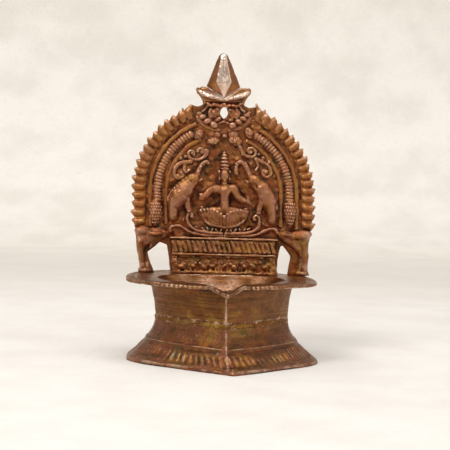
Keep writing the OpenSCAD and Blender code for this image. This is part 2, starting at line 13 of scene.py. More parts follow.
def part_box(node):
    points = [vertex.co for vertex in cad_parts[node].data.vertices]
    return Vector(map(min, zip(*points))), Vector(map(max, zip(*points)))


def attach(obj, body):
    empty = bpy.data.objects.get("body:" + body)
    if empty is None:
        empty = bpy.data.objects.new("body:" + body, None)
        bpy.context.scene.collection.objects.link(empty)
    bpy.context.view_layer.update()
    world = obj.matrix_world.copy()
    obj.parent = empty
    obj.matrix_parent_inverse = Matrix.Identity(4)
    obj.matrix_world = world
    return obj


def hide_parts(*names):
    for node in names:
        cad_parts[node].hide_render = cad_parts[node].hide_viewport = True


MM = 0.001
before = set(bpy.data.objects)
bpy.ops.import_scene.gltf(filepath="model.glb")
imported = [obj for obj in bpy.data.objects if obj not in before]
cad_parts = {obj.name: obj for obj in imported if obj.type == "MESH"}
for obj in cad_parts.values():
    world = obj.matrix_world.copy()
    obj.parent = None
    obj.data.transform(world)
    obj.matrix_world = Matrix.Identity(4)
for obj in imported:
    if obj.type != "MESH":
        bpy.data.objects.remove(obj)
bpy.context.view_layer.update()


def cad(node):
    """Lowest and highest corner of a CAD node, in millimetres."""
    low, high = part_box(node)
    return np.array(low) / MM, np.array(high) / MM


# ---------------------------------------------------------------- sizes

FOOT_HIGH = cad("foot")[1]
BODY_R = FOOT_HIGH[0]                  # half-width of rim and stand
BACK, FRONT = 32.0, 40.0               # their depths behind and ahead of the widest line
MID_Y = FOOT_HIGH[1] - BACK
WAIST_Z = FOOT_HIGH[2]
RIM_Z = cad("bowl")[1][2]
PLATE_FRONT = cad("rays_left")[1][1]   # y of the plate's front face
PLATE_BACK = cad("back_plate")[1][1]
PLATE_T = PLATE_BACK - PLATE_FRONT
THRONE_Z = cad("throne_cornice")[1][2]
ARCH_Z = THRONE_Z + 17.3
ARCH_R = cad("back_plate")[1][0]
SIDE_Z = ARCH_Z - 14
NECK_Z = cad("finial_collar")[0][2]
FIELD_Z = THRONE_Z - 0.7               # line from which the figures are set out
TOP_Z = cad("finial_bud")[1][2]
SIDES = {-1: "left", 1: "right"}
LEAN = 0.028                           # the casting leans to the left as it rises
OFFSET = 1.8                           # and its plate stands a little right of the middle


# ---------------------------------------------------------------- noise and small helpers

def ripples(x, y, z, size, seed):
    """Smooth irregular field, roughly -1 to 1, with features about `size` across."""
    waves = 9
    rng = np.random.default_rng(seed)
    total = 0.0
    for _ in range(waves):
        d = rng.normal(size=3)
        d *= 2 * np.pi / (size * rng.uniform(1.2, 3.2) * np.linalg.norm(d))
        total = total + np.sin(x * d[0] + y * d[1] + z * d[2] + rng.uniform(0, 6.283))
    return total / np.sqrt(waves * 1.4)


def soft_min(a, b, k):
    h = np.maximum(k - np.abs(a - b), 0) / k
    return np.minimum(a, b) - h * h * k / 4


def step_up(x, a, b):
    t = np.clip((x - a) / (b - a), 0, 1)
    return t * t * (3 - 2 * t)


def rounded(points, times, closed=False):
    """Corner cutting: turns a rough line into a smooth one, keeping an open line's ends."""
    p = [np.array(q, float) for q in points]
    for _ in range(times):
        q = [] if closed else [p[0]]
        for i in range(len(p) if closed else len(p) - 1):
            a, b = p[i], p[(i + 1) % len(p)]
            q += [a * 0.75 + b * 0.25, a * 0.25 + b * 0.75]
        p = q if closed else q + [p[-1]]
    return p


def flip(points):
    return [(-p[0],) + tuple(p[1:]) for p in points]


# ---------------------------------------------------------------- meshes

def vertex_normals(co, quads):
    a, b, c, d = (co[quads[:, i]] for i in range(4))
    n = np.cross(c - a, d - b)
    out = np.zeros_like(co)
    for i in range(4):
        for k in range(3):
            out[:, k] += np.bincount(quads[:, i], n[:, k], len(co))
    return out / np.maximum(np.linalg.norm(out, axis=1, keepdims=True), 1e-9)


def relaxed(co, quads, times, share=0.6):
    """Each point moved towards the mean of its neighbours, so fine detail fades."""
    e = np.concatenate([quads[:, [i, (i + 1) % 4]] for i in range(4)])
    count = np.maximum(np.bincount(e[:, 0], minlength=len(co)), 1)
    p = co.copy()
    for _ in range(times):
        for k in range(3):
            mean = np.bincount(e[:, 0], p[e[:, 1], k], len(co)) / count
            p[:, k] += share * (mean - p[:, k])
    return p


def cavity(co, quads, times, size):
    """-1 on ridges to 1 in hollows, from how far the relaxed surface moves away; the bronze paints
    highlights on the ridges and shade in the hollows.
    """
    n = vertex_normals(co, quads)
    rise = ((relaxed(co, quads, times) - co) * n).sum(1)
    return np.clip(rise / size, -1, 1)


def mesh_piece(name, co, quads, node, slot, material, hollow, wear_and_highlight, brass=None):
    """A shaded mesh object that stands for a CAD node. co is in millimetres."""
    co = co - LEAN * co[:, 2:] * (1, 0, 0)
    me = bpy.data.meshes.new(name)
    me.vertices.add(len(co))
    me.vertices.foreach_set("co", (co * MM).astype(np.float32).ravel())
    me.loops.add(quads.size)
    me.loops.foreach_set("vertex_index", quads.astype(np.int32).ravel())
    me.polygons.add(len(quads))
    me.polygons.foreach_set("loop_start", np.arange(0, quads.size, 4, dtype=np.int32))
    me.polygons.foreach_set("use_smooth", np.ones(len(quads), bool))
    me.update(calc_edges=True)
    # The second layer marks rubbed metal together with painted highlights.
    for label, values in (("hollow", hollow), ("wear_and_highlight", wear_and_highlight), ("brass", brass)):
        layer = me.attributes.new(label, "FLOAT", "POINT")
        if values is not None:
            layer.data.foreach_set("value", np.asarray(values, np.float32))
    me.validate()
    me.materials.append(material)
    ob = bpy.data.objects.new(name, me)
    bpy.context.scene.collection.objects.link(ob)
    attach(ob, "root")
    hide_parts(node)
    return ob


# ---------------------------------------------------------------- clay: distance fields

FAR = 2.5
PAD = 1.6


class Clay:
    """A block of points with a signed distance at each. Axes: x, height z, and u out of the plate."""

    def __init__(self, low, high, step):
        self.low = np.array(low, float)
        self.step = step
        n = np.ceil((np.array(high, float) - self.low) / step).astype(int) + 1
        self.f = np.full(n, FAR)

    def window(self, low, high):
        n = np.array(self.f.shape)
        a = np.clip(np.floor((np.array(low) - PAD - self.low) / self.step).astype(int), 0, n - 1)
        b = np.clip(np.ceil((np.array(high) + PAD - self.low) / self.step).astype(int) + 1, 1, n)
        ticks = [self.low[i] + self.step * np.arange(a[i], b[i]) for i in range(3)]
        where = tuple(slice(p, q) for p, q in zip(a, b))
        return where, ticks[0][:, None, None], ticks[1][None, :, None], ticks[2][None, None, :]

    def everywhere(self):
        return self.window(self.low, self.low + self.step * np.array(self.f.shape))

    def join(self, low, high, shape, k=0.3):
        where, x, z, u = self.window(low, high)
        self.f[where] = soft_min(self.f[where], shape(x, z, u), k)

    def carve(self, low, high, shape, k=0.2):
        where, x, z, u = self.window(low, high)
        self.f[where] = -soft_min(-self.f[where], shape(x, z, u), k)

    def rod(self, a, b, ra, rb=None, k=0.3, flat=1.0, cut=False):
        """Round bar with rounded ends; flat below 1 makes it lower than it is wide."""
        a, b = np.array(a, float), np.array(b, float)
        rb = ra if rb is None else rb
        d = b - a
        r = max(ra, rb)

        def shape(x, z, u):
            px, pz, pu = x - a[0], z - a[1], (u - a[2]) / flat
            du = d[2] / flat
            h = (px * d[0] + pz * d[1] + pu * du) / max(d[0] ** 2 + d[1] ** 2 + du ** 2, 1e-9)
            h = np.clip(h, 0, 1)
            gap = np.sqrt((px - h * d[0]) ** 2 + (pz - h * d[1]) ** 2 + (pu - h * du) ** 2)
            return gap - (ra + (rb - ra) * h)

        (self.carve if cut else self.join)(np.minimum(a, b) - r, np.maximum(a, b) + r, shape, k)

    def stroke(self, points, r0, r1=None, k=0.2, flat=1.0, times=2, cut=False):
        """A rod bent along a smooth line through points of (x, z, u)."""
        p = rounded([q if len(q) == 3 else (*q, 0.2) for q in points], times)
        r1 = r0 if r1 is None else r1
        m = len(p) - 1
        for i in range(m):
            ra, rb = (r0 + (r1 - r0) * t / m for t in (i, i + 1))
            self.rod(p[i], p[i + 1], ra, rb, k, flat, cut)

    def blob(self, c, r, k=0.3, turn=0.0, cut=False):
        """Ellipsoid of half-sizes r about c, turned by `turn` degrees in the plate's plane."""
        c = np.array(c, float)
        r = np.array(r if np.ndim(r) else (r, r, r), float)
        ct, st = np.cos(np.radians(turn)), np.sin(np.radians(turn))

        def shape(x, z, u):
            px, pz, pu = x - c[0], z - c[1], u - c[2]
            qx, qz = px * ct + pz * st, pz * ct - px * st
            k0 = np.sqrt((qx / r[0]) ** 2 + (qz / r[1]) ** 2 + (pu / r[2]) ** 2)
            k1 = np.sqrt((qx / r[0] ** 2) ** 2 + (qz / r[1] ** 2) ** 2 + (pu / r[2] ** 2) ** 2)
            return k0 * (k0 - 1) / np.maximum(k1, 1e-6)

        big = np.full(3, max(r[0], r[1]))
        big[2] = r[2]
        (self.carve if cut else self.join)(c - big, c + big, shape, k)

    def slab(self, low, high, r):
        """Box with edges rounded by r."""
        low, high = np.array(low, float), np.array(high, float)
        c, h = (low + high) / 2, (high - low) / 2 - r

        def shape(x, z, u):
            q = [np.abs(v - c[i]) - h[i] for i, v in enumerate((x, z, u))]
            out = np.sqrt(sum(np.maximum(v, 0) ** 2 for v in q))
            return out + np.minimum(np.maximum(np.maximum(q[0], q[1]), q[2]), 0) - r

        self.join(low, high, shape, 0.2)

    def outline(self, points, u0, u1, r, k=0.3):
        """A flat outline raised from u0 to u1, with edges rounded by r."""
        p = np.array(points, float)
        low, high = (*p.min(0), u0), (*p.max(0), u1)

        def shape(x, z, u):
            flat = edge_distance(p, x[:, :, 0], z[:, :, 0])[:, :, None] + r
            tall = np.abs(u - (u0 + u1) / 2) - (u1 - u0) / 2 + r
            out = np.sqrt(np.maximum(flat, 0) ** 2 + np.maximum(tall, 0) ** 2)
            return out + np.minimum(np.maximum(flat, tall), 0) - r

        self.join(low, high, shape, k)

    def wobble(self, amount, size, seed):
        """Hand-cast unevenness."""
        _, x, z, u = self.everywhere()
        self.f = self.f + amount * ripples(x, z, u * 1.5, size, seed)

    def seat(self, *wobbles):
        """Uneven skin, and a flat back against the plate."""
        for wobble in wobbles:
            self.wobble(*wobble)
        _, _, _, u = self.everywhere()
        self.f = np.maximum(self.f, -0.06 - u)


def edge_distance(p, x, z):
    """Signed distance to a closed outline, negative inside."""
    best = np.full(np.broadcast(x, z).shape, 1e9)
    sign = np.ones(best.shape)
    for i in range(len(p)):
        a, b = p[i], p[(i + 1) % len(p)]
        e = b - a
        wx, wz = x - a[0], z - a[1]
        h = np.clip((wx * e[0] + wz * e[1]) / max(e @ e, 1e-12), 0, 1)
        best = np.minimum(best, (wx - e[0] * h) ** 2 + (wz - e[1] * h) ** 2)
        above, below = z >= a[1], z < b[1]
        turn = e[0] * wz > e[1] * wx
        flips = (above & below & turn) | (~above & ~below & ~turn)
        sign = np.where(flips, -sign, sign)
    return sign * np.sqrt(best)


def skin(clay):
    """Quad mesh of the clay's surface: one point in each cell that the surface crosses."""
    f = np.pad(clay.f, 1, constant_values=FAR)
    cells = tuple(s - 1 for s in f.shape)
    total = np.zeros(cells + (3,), np.float32)
    count = np.zeros(cells, np.uint8)
    crossings = []
    for axis in range(3):
        a = f[tuple(slice(None, -1) if i == axis else slice(None) for i in range(3))]
        b = f[tuple(slice(1, None) if i == axis else slice(None) for i in range(3))]
        hit = (a < 0) != (b < 0)
        t = np.where(hit, a / np.where(hit, a - b, 1), 0)
        crossings.append((hit, a >= 0))
        o1, o2 = (i for i in range(3) if i != axis)
        for i in (0, 1):
            for j in (0, 1):
                part = [slice(None)] * 3
                part[o1] = slice(i, cells[o1] + i)
                part[o2] = slice(j, cells[o2] + j)
                h = hit[tuple(part)]
                count += h
                total[..., axis] += t[tuple(part)]
                total[..., o1] += i * h
                total[..., o2] += j * h
    used = count > 0
    place = np.argwhere(used)
    co = total[used] / count[used][:, None] + place
    index = np.full(cells, -1, np.int64)
    index[used] = np.arange(len(place))
    quads = []
    for axis, (hit, outside) in enumerate(crossings):
        o1, o2 = (i for i in range(3) if i != axis)
        at = np.argwhere(hit)
        corner = []
        for i, j in ((1, 1), (0, 1), (0, 0), (1, 0)):
            q = at.copy()
            q[:, o1] -= i
            q[:, o2] -= j
            corner.append(index[tuple(q.T)])
        q = np.stack(corner, 1)
        turn = outside[hit] != (axis == 1)
        q[turn] = q[turn][:, ::-1]
        quads.append(q)
    return co * clay.step + clay.low - clay.step, np.concatenate(quads)


def on_plate(co):
    """From clay axes to the lamp's own."""
    x, z, u = co.T
    return np.stack([x + OFFSET, PLATE_FRONT - u, z], 1)


def cast(name, clay, node, slot, material, detail=0.16, wear_and_highlight=None, brass=None):
    """Skins the clay and makes its piece."""
    co, quads = skin(clay)
    co = relaxed(co, quads, 1, 0.5)
    hollow = cavity(co, quads, int(max(3, (0.55 / clay.step) ** 2 * 2.2)), detail)
    worn_and_lit = wear_and_highlight(co) if wear_and_highlight else None
    gilt = brass(co) if brass else None
    return mesh_piece(name, on_plate(co), quads, node, slot, material, hollow, worn_and_lit, gilt)


# ---------------------------------------------------------------- materials

class Shader:
    """A material, with short ways to add the nodes used here. A value may be a constant or a socket."""

    def __init__(self, name):
        self.material = bpy.data.materials.new(name)
        self.material.use_nodes = True
        self.tree = self.material.node_tree
        self.surface = self.tree.nodes["Principled BSDF"]
        self.coords = self.add("TexCoord").outputs["Object"]

    def put(self, socket, value):
        if isinstance(value, bpy.types.NodeSocket):
            self.tree.links.new(value, socket)
        else:
            socket.default_value = value

    def add(self, kind, **inputs):
        node = self.tree.nodes.new("ShaderNode" + kind)
        for key, value in inputs.items():
            self.put(node.inputs[key.replace("_", " ")], value)
        return node

    def noise(self, vector, scale, detail, roughness=0.5):
        node = self.add("TexNoise", Vector=vector, Scale=scale, Detail=detail, Roughness=roughness)
        return node.outputs["Fac"]

    def attribute(self, label):
        node = self.add("Attribute")
        node.attribute_name = label
        return node.outputs["Fac"]

    def ramp(self, value, low, high, to_low=0.0, to_high=1.0):
        node = self.add("MapRange", Value=value, From_Min=low, From_Max=high, To_Min=to_low,
                        To_Max=to_high)
        node.interpolation_type = "SMOOTHSTEP"
        return node.outputs["Result"]

    def math(self, operation, a, b, clamp=False):
        node = self.add("Math")
        node.operation = operation
        node.use_clamp = clamp
        self.put(node.inputs[0], a)
        self.put(node.inputs[1], b)
        return node.outputs[0]

    def mix(self, share, a, b):
        """Colour a, turning to colour b as share rises to 1."""
        node = self.add("Mix")
        node.data_type = "RGBA"
        for i, value in ((0, share), (6, a), (7, b)):
            self.put(node.inputs[i], (*value, 1) if isinstance(value, tuple) else value)
        return node.outputs[2]

    def bump(self, height, strength, depth):
        node = self.add("Bump", Strength=strength, Distance=depth, Height=height)
        self.put(self.surface.inputs["Normal"], node.outputs["Normal"])


RUST = (0.34, 0.085, 0.014)
BRASS = (0.40, 0.24, 0.05)
VERDIGRIS = (0.06, 0.062, 0.03)
WORN_ROUGH = 0.26


def bronze(name, raised, tint, deep, shine, rust=RUST, rust_amount=0.5, green=0.25, base_dirt=0.0,
           rough=0.40, brush=None, brush_depth=0.0, streaks=0.0, clear=0.0, scratches=0.0,
           glint=1.0, *, grain, seed):
    """Old cast bronze. Raised metal is rubbed bright and carries painted highlights; hollows hold dark,
    rusty dirt and painted shade.

    raised and tint are the two tones of the metal, deep the colour of the dirt and painted shade in
    hollows, and shine that of rubbed edges and painted highlights.
    brush gives how tightly tool marks are packed along x, y and z; streaks shows them in the
    colour too. clear polishes the worn parts and scratches crosses them with fine lines.
    """
    s = Shader(name)
    math, mix, ramp = s.math, s.mix, s.ramp

    def noise(scale, detail, roughness, shift=0.0, stretch=(1, 1, 1)):
        place = s.add("Mapping", Vector=s.coords, Scale=stretch,
                      Location=(seed + shift, shift * 0.7, seed * 0.3))
        return s.noise(place.outputs["Vector"], scale, detail, roughness)

    hollow, wear_and_highlight, brass = (s.attribute(label) for label in ("hollow", "wear_and_highlight", "brass"))
    # Ambient occlusion darkens the colour in recesses: painted shade, laid over the real dirt and
    # patina there.
    occlusion = s.add("AmbientOcclusion", Distance=0.0035)
    occlusion.samples = 8
    painted_ao_shade = ramp(occlusion.outputs["AO"], 0.3, 0.92, 1.0, 0.0)

    broad = noise(75, 3, 0.6)
    blotch = noise(240, 4, 0.6, 1.3)
    speck = noise(1000, 4, 0.65, 2.1)
    patch = noise(130, 4, 0.65, 3.7)

    # The darkening mask is part real grime and part painted shade, from the hollow measure and the
    # occlusion.
    dirt_and_shade = math("ADD", math("MULTIPLY", ramp(hollow, 0.0, 0.8), 0.8), math("MULTIPLY", painted_ao_shade, 0.85))
    dirt_and_shade = math("ADD", dirt_and_shade, base_dirt)
    dirt_and_shade = math("ADD", dirt_and_shade, ramp(blotch, 0.35, 0.7, -0.32, 0.32))
    dirt_and_shade = math("ADD", dirt_and_shade, ramp(speck, 0.3, 0.7, -0.24, 0.24), True)
    # Ridges and marked places turn to the shine colour: rubbed metal together with painted highlights.
    rub_and_highlight = math("MULTIPLY", ramp(hollow, -0.3, -1.0), ramp(blotch, 0.40, 0.64))
    rub_and_highlight = math("MULTIPLY", rub_and_highlight, math("SUBTRACT", 1.0, painted_ao_shade))
    worn_and_lit = math("MULTIPLY", wear_and_highlight, ramp(speck, 0.3 - clear, 0.62 - clear))
    rub_and_highlight = math("MULTIPLY", math("MAXIMUM", rub_and_highlight, worn_and_lit), glint, True)

    metal = mix(ramp(blotch, 0.38, 0.64), raised, tint)
    metal = mix(math("MULTIPLY", ramp(broad, 0.5, 0.66), rust_amount * 0.7), metal, rust)
    gold = math("ADD", brass, ramp(patch, 0.5, 0.68, 0.0, 0.5), True)
    gold = math("MULTIPLY", gold, ramp(blotch, 0.3, 0.55))
    metal = mix(gold, metal, BRASS)
    if brush:
        marks = noise(100, 5, 0.7, 4.0, brush)
        metal = mix(math("MULTIPLY", ramp(marks, 0.42, 0.62), streaks), metal,
                    tuple(v * 0.45 for v in tint))
    # Colour of the hollows: near-black painted shade and dirt, turning to rust and verdigris patina.
    dirt_and_shade_tone = mix(ramp(patch, 0.42, 0.6), deep, rust)
    dirt_and_shade_tone = mix(math("MULTIPLY", ramp(broad, 0.5, 0.64), green), dirt_and_shade_tone, VERDIGRIS)
    colour = mix(rub_and_highlight, mix(dirt_and_shade, metal, dirt_and_shade_tone), shine)
    s.put(s.surface.inputs["Base Color"], colour)

    level = math("ADD", math("MULTIPLY", dirt_and_shade, 0.22), rough)
    level = math("ADD", level, ramp(speck, 0.3, 0.7, -0.06, 0.08))
    level = math("SUBTRACT", level, math("MULTIPLY", rub_and_highlight, rough - WORN_ROUGH), True)
    s.put(s.surface.inputs["Roughness"], level)
    s.put(s.surface.inputs["Metallic"], math("SUBTRACT", 1.0, math("MULTIPLY", dirt_and_shade, 0.45)))

    height = math("ADD", math("MULTIPLY", speck, 0.75 * grain), math("MULTIPLY", blotch, 0.9 * grain))
    if brush:
        height = math("ADD", height, math("MULTIPLY", marks, brush_depth))
    if scratches:
        for slant in (-0.7, 0.7):
            place = s.add("Mapping", Vector=s.coords, Rotation=(0, slant, 0), Scale=(22, 1, 1.2))
            lines = ramp(s.noise(place.outputs["Vector"], 120, 3), 0.56, 0.66)
            height = math("SUBTRACT", height, math("MULTIPLY", math("MULTIPLY", lines, rub_and_highlight), scratches))
    s.bump(height, 1.0, 0.0002)
    return s.material


COPPER = (0.40, 0.185, 0.09)
# DEEP is the near-black of dirt and painted shade in hollows.
DEEP = (0.05, 0.016, 0.004)
# PINK is the colour of rubbed edges and painted highlights.
PINK = (0.66, 0.42, 0.29)

m_bowl = bronze("bronze_bowl", (0.24, 0.098, 0.038), (0.20, 0.082, 0.024), DEEP, PINK,
                rust_amount=0.25, green=0.5, base_dirt=0.05, brush=(0.3, 0.3, 16.0),
                brush_depth=2.4, streaks=0.6, grain=0.4, rough=0.34, seed=3.0)
m_foot = bronze("bronze_stand", (0.24, 0.088, 0.05), (0.18, 0.08, 0.022), DEEP, PINK,
                rust_amount=0.25, green=1.0, base_dirt=0.10, brush=(0.4, 0.4, 9.0),
                brush_depth=1.2, streaks=0.5, grain=1.3, rough=0.38, glint=0.7, seed=5.0)
m_braze = bronze("brazing_brass", (0.22, 0.10, 0.025), (0.20, 0.08, 0.025), DEEP,
                 (0.42, 0.26, 0.10), rust_amount=0.4, green=1.0, base_dirt=0.22, rough=0.5,
                 grain=2.6, glint=0.4, seed=6.0)
m_plate = bronze("bronze_plate", (0.27, 0.105, 0.045), (0.31, 0.115, 0.022), (0.045, 0.013, 0.004),
                 PINK, rust=(0.27, 0.045, 0.009), rust_amount=0.9, green=0.8, base_dirt=0.26,
                 rough=0.40, grain=2.2, seed=7.0)
m_rays = bronze("bronze_rays", (0.34, 0.145, 0.06), (0.36, 0.14, 0.035), (0.06, 0.017, 0.004),
                PINK, rust_amount=0.8, green=0.3, base_dirt=0.04, grain=1.6, seed=9.0)
m_relief = bronze("bronze_relief", (0.40, 0.185, 0.11), (0.36, 0.155, 0.06), DEEP, PINK,
                  rust_amount=0.5, green=0.5, base_dirt=0.03, rough=0.36, grain=2.0, seed=11.0)
m_throne = bronze("bronze_throne", (0.37, 0.165, 0.08), (0.34, 0.15, 0.05), (0.035, 0.016, 0.005),
                  PINK, rust_amount=0.4, green=0.8, base_dirt=-0.02, rough=0.40, grain=2.2,
                  seed=13.0)
# Its shine is near white: the painted highlight of the bud's front facet and the collar's lips, over
# worn metal.
m_finial = bronze("bronze_finial", (0.36, 0.165, 0.085), (0.30, 0.125, 0.05), DEEP,
                  (0.95, 0.76, 0.62), rust_amount=0.3, green=0.3, rough=0.33, clear=0.3,
                  scratches=2.2, grain=0.6, seed=15.0)
m_rivet = bronze("copper_rivet", (0.42, 0.20, 0.11), COPPER, DEEP, PINK, grain=0.9, seed=17.0)


# ---------------------------------------------------------------- leaf-shaped bodies

N = 600                                # points in a ring


def leaf(a, w, back, front, p, spout_r=0.0, spout=0.0, dip=0.0):
    """Points of a leaf ring at angles a: a squarish back, a pointed front and a spout."""
    c, s = np.cos(a), np.sin(a)
    t = np.clip(-s, 0, 1)
    rear = s >= 0
    x = np.sign(c) * w * np.where(rear, np.abs(c) ** (2 / 3), 1 - t ** p)
    k = np.zeros_like(x)
    if spout_r > 0:
        k = np.where(rear, 0, np.clip(1 - np.abs(x) / spout_r, 0, 1) ** 0.9)
    y = MID_Y + np.where(rear, back * np.abs(s) ** (2 / 3), -front * t - spout * k)
    return x, y, -dip * k * k


def even_angles(w, back, front, p):
    """Angles that space points evenly round a leaf."""
    a = np.linspace(0, 2 * np.pi, 40001)
    x, y, _ = leaf(a, w, back, front, p)
    length = np.concatenate([[0], np.cumsum(np.hypot(np.diff(x), np.diff(y)))])
    return np.interp(np.arange(N) / N * length[-1], length, a), length[-1]


ANGLES, ROUND = even_angles(BODY_R, BACK, FRONT, 1.6)
ALONG = np.arange(N) / N * ROUND       # distance round the rim of each point in a ring


def ring(w, z, p, back=None, front=None, spout_r=0.0, spout=0.0, dip=0.0):
    back = w * BACK / BODY_R if back is None else back
    front = w * FRONT / BODY_R if front is None else front
    x, y, d = leaf(ANGLES, w, back, front, p, spout_r, spout, dip)
    return np.stack([x, y, z + d], 1)


def blend_rings(a, b, steps):
    return [a + (b - a) * (i + 1) / steps for i in range(steps)]


def grid_quads(m, closed):
    """Quads of m rings of N points; closed joins the last ring to the first."""
    k = np.arange(m if closed else m - 1)[:, None]
    i = np.arange(N)[None, :]
    j = (i + 1) % N
    a, b = k * N, (k + 1) % m * N
    return np.stack([a + i, b + i, b + j, a + j], -1).reshape(-1, 4)


def grid_normals(rings):
    co = rings.reshape(-1, 3)
    return vertex_normals(co, grid_quads(len(rings), False)).reshape(rings.shape)


def leaf_piece(name, rings, caps, dent, node, slot, material, detail, wear_and_highlight, brass):
    """A skin through rings, displaced along its normals by dent and closed by caps or in a loop."""
    rings = np.array(rings)
    rings = rings + grid_normals(rings) * dent[:, :, None]
    m = len(rings)
    co = rings.reshape(-1, 3)
    quads = grid_quads(m, not caps)
    if caps:
        # Each cap point is used twice in its quads, two ring edges to a quad.
        co = np.concatenate([co, np.array(caps)])
        i = np.arange(0, N, 2)
        j, k = (i + 1) % N, (i + 2) % N
        top, low = np.full_like(i, m * N), np.full_like(i, m * N + 1)
        last = (m - 1) * N
        quads = np.concatenate([quads, np.stack([top, i, j, k], 1),
                                np.stack([low, last + k, last + j, last + i], 1)])
    hollow = cavity(co, quads, 10, detail)
    layers = [None if v is None else np.concatenate([v.ravel(), np.zeros(len(co) - v.size)])
              for v in (wear_and_highlight, brass)]
    return mesh_piece(name, co, quads, node, slot, material, hollow, *layers)


WAIST_R, SKIRT_R, SKIRT_Z, DRUM_R, EDGE_Z, WALL = 25.1, 28.9, 7.8, 27.1, 1.0, 2.2
RIM_T, BEAD = 1.4, 0.9
UNDER_Z = RIM_Z - RIM_T
SEAM_LOW, SEAM_HIGH = WAIST_Z - BEAD, WAIST_Z + BEAD
DRUM_P, EDGE_P = 1.35, 1.5
HOLLOW_R, HOLLOW_BACK, HOLLOW_FRONT, HOLLOW_D = 24.6, 16.6, 24.5, 9.4
LIP_FRONT, SPOUT_LEN, SPOUT_R, SPOUT_DIP, LIP_T = 31.0, 8.6, 9.0, 1.6, 2.2


def flare(z, z0, r0, z1, r1):
    return r0 + (r1 - r0) * ((z - z0) / (z1 - z0)) ** 1.9


def stand_r(z):
    if z >= SKIRT_Z:
        return flare(z, WAIST_Z, WAIST_R, SKIRT_Z, SKIRT_R)
    return SKIRT_R + (BODY_R - SKIRT_R) * ((SKIRT_Z - z) / (SKIRT_Z - EDGE_Z)) ** 1.15


def drum_r(z):
    return flare(z, WAIST_Z, WAIST_R, UNDER_Z, DRUM_R)


def keel(rings, width, low, high):
    """Wear along the sharp front line, between two heights."""
    x, y, z = np.moveaxis(rings, 2, 0)
    line = np.exp(-(x / width) ** 2) * (y < MID_Y)
    line = line * step_up(z, low, low + 1) * step_up(-z, -high, 1 - high)
    return line * np.clip(0.75 + 0.5 * ripples(x, y, z, 1.6, 71), 0, 1)


def make_stand():
    zs = list(np.linspace(WAIST_Z, SKIRT_Z + 0.7, 20))
    rings = [ring(stand_r(z), z, DRUM_P + (EDGE_P - DRUM_P) * (i / 19) ** 3)
             for i, z in enumerate(zs)]
    for z, out in ((SKIRT_Z + 0.45, 0.0), (SKIRT_Z + 0.2, 0.04), (SKIRT_Z - 0.05, 0.08),
                   (SKIRT_Z - 0.3, 0.08), (SKIRT_Z - 0.55, 0.02)):
        rings.append(ring(stand_r(SKIRT_Z) + out + (SKIRT_Z - min(z, SKIRT_Z)) * 0.7, z, EDGE_P))
    skirt = list(np.linspace(SKIRT_Z - 0.8, EDGE_Z + 0.25, 30))
    rings += [ring(stand_r(z), z, EDGE_P) for z in skirt]
    for z, back in ((0.85, 0.05), (0.55, 0.0), (0.3, 0.08), (0.08, 0.3), (0.0, 0.6)):
        rings.append(ring(BODY_R - back, z, EDGE_P))
    for z in (0.0, 0.3, 1.5, 3, 5, 7, 9, 11, 13, 15, WAIST_Z):
        rings.append(ring(stand_r(max(z, EDGE_Z)) - WALL, z, DRUM_P if z > SKIRT_Z else EDGE_P))
    rings = np.array(rings)
    # The skirt's front corner was cast a little to the right, and its sides a little forward.
    low = step_up(-rings[:, :, 2], -SKIRT_Z, -1)
    rings[:, :, 0] += 2.0 * step_up(MID_Y - rings[:, :, 1], 14, 40) * low
    rings[:, :, 1] -= 3.4 * step_up(np.abs(rings[:, :, 0]), 18, 36) * low
    x, y, z = np.moveaxis(rings, 2, 0)
    outside = np.zeros((len(rings), 1))
    outside[:len(rings) - 11] = 1
    s = ALONG[None, :]
    # Tooled petals on the skirt: broad ones in front and fine strokes towards the ears.
    front = step_up(26 - np.abs(x), 0, 6) * (y < MID_Y)
    drift = 0.8 * ripples(x, y, z, 7, 21)
    broad = 0.5 - 0.5 * np.cos(s * 2 * np.pi / 3.1 + drift)
    fine = 0.5 - 0.5 * np.cos(s * 2 * np.pi / 1.9 + drift)
    arch = 5.6 + 0.9 * broad + 0.6 * ripples(x, y, 0 * z, 8, 22)
    broad_zone = step_up(arch - z, 0, 1.0) * step_up(z, 2.0, 3.2)
    fine_zone = step_up(7.0 - z, 0, 0.8) * step_up(z, 2.4, 3.6)
    fade = np.clip(0.62 + 0.55 * ripples(x, y, z * 0.5, 11, 24), 0.12, 1)
    dent = -0.50 * (1 - step_up(broad, 0.0, 0.8)) * broad_zone * front
    dent = (dent - 0.40 * (1 - step_up(fine, 0.05, 0.8)) * fine_zone * (1 - front)) * fade
    dent = dent - 0.16 * np.exp(-((z - SKIRT_Z + 0.9) / 0.35) ** 2)
    dent = dent + 0.20 * ripples(x, y, z, 9, 25) + 0.06 * ripples(x, y, z, 2.2, 26)
    dent = dent + 0.10 * ripples(x, y, z * 1.5, 1.3, 27) * step_up(z, 13.2, 15.5)
    hold = step_up(z, 0.0, 0.9) * outside
    dent = np.where(z < 1.2, np.minimum(dent, 0) * 0.7, dent) * hold
    dent[0] = np.minimum(dent[0], 0)
    wear_and_highlight = 1.3 * keel(rings, 0.45, 0.6, WAIST_Z) * outside
    wear_and_highlight = wear_and_highlight * np.clip(0.8 + 0.6 * ripples(x, y, z, 2.2, 36), 0.1, 1)
    wear_and_highlight = np.maximum(wear_and_highlight, 0.25 * outside * step_up(-z, -1.2, -0.7) * step_up(z, 0.2, 0.6)
                      * np.clip(ripples(x, y, z, 6, 28), 0, 1))
    wear_and_highlight = np.maximum(wear_and_highlight, 0.5 * step_up(ripples(x, y, z, 1.6, 29), 1.05, 1.5) * outside)
    gilt = step_up(ripples(x, y, z, 7, 30), -0.5, 0.9) * (y < MID_Y)
    gilt = gilt * (0.75 * broad_zone * front + 0.55 * step_up(-np.abs(x), -22, -8)
                   * step_up(z, 9, 13)) * outside
    leaf_piece("lamp_stand", rings, None, dent, "foot", "cast_body", m_foot, 0.13, wear_and_highlight, gilt)


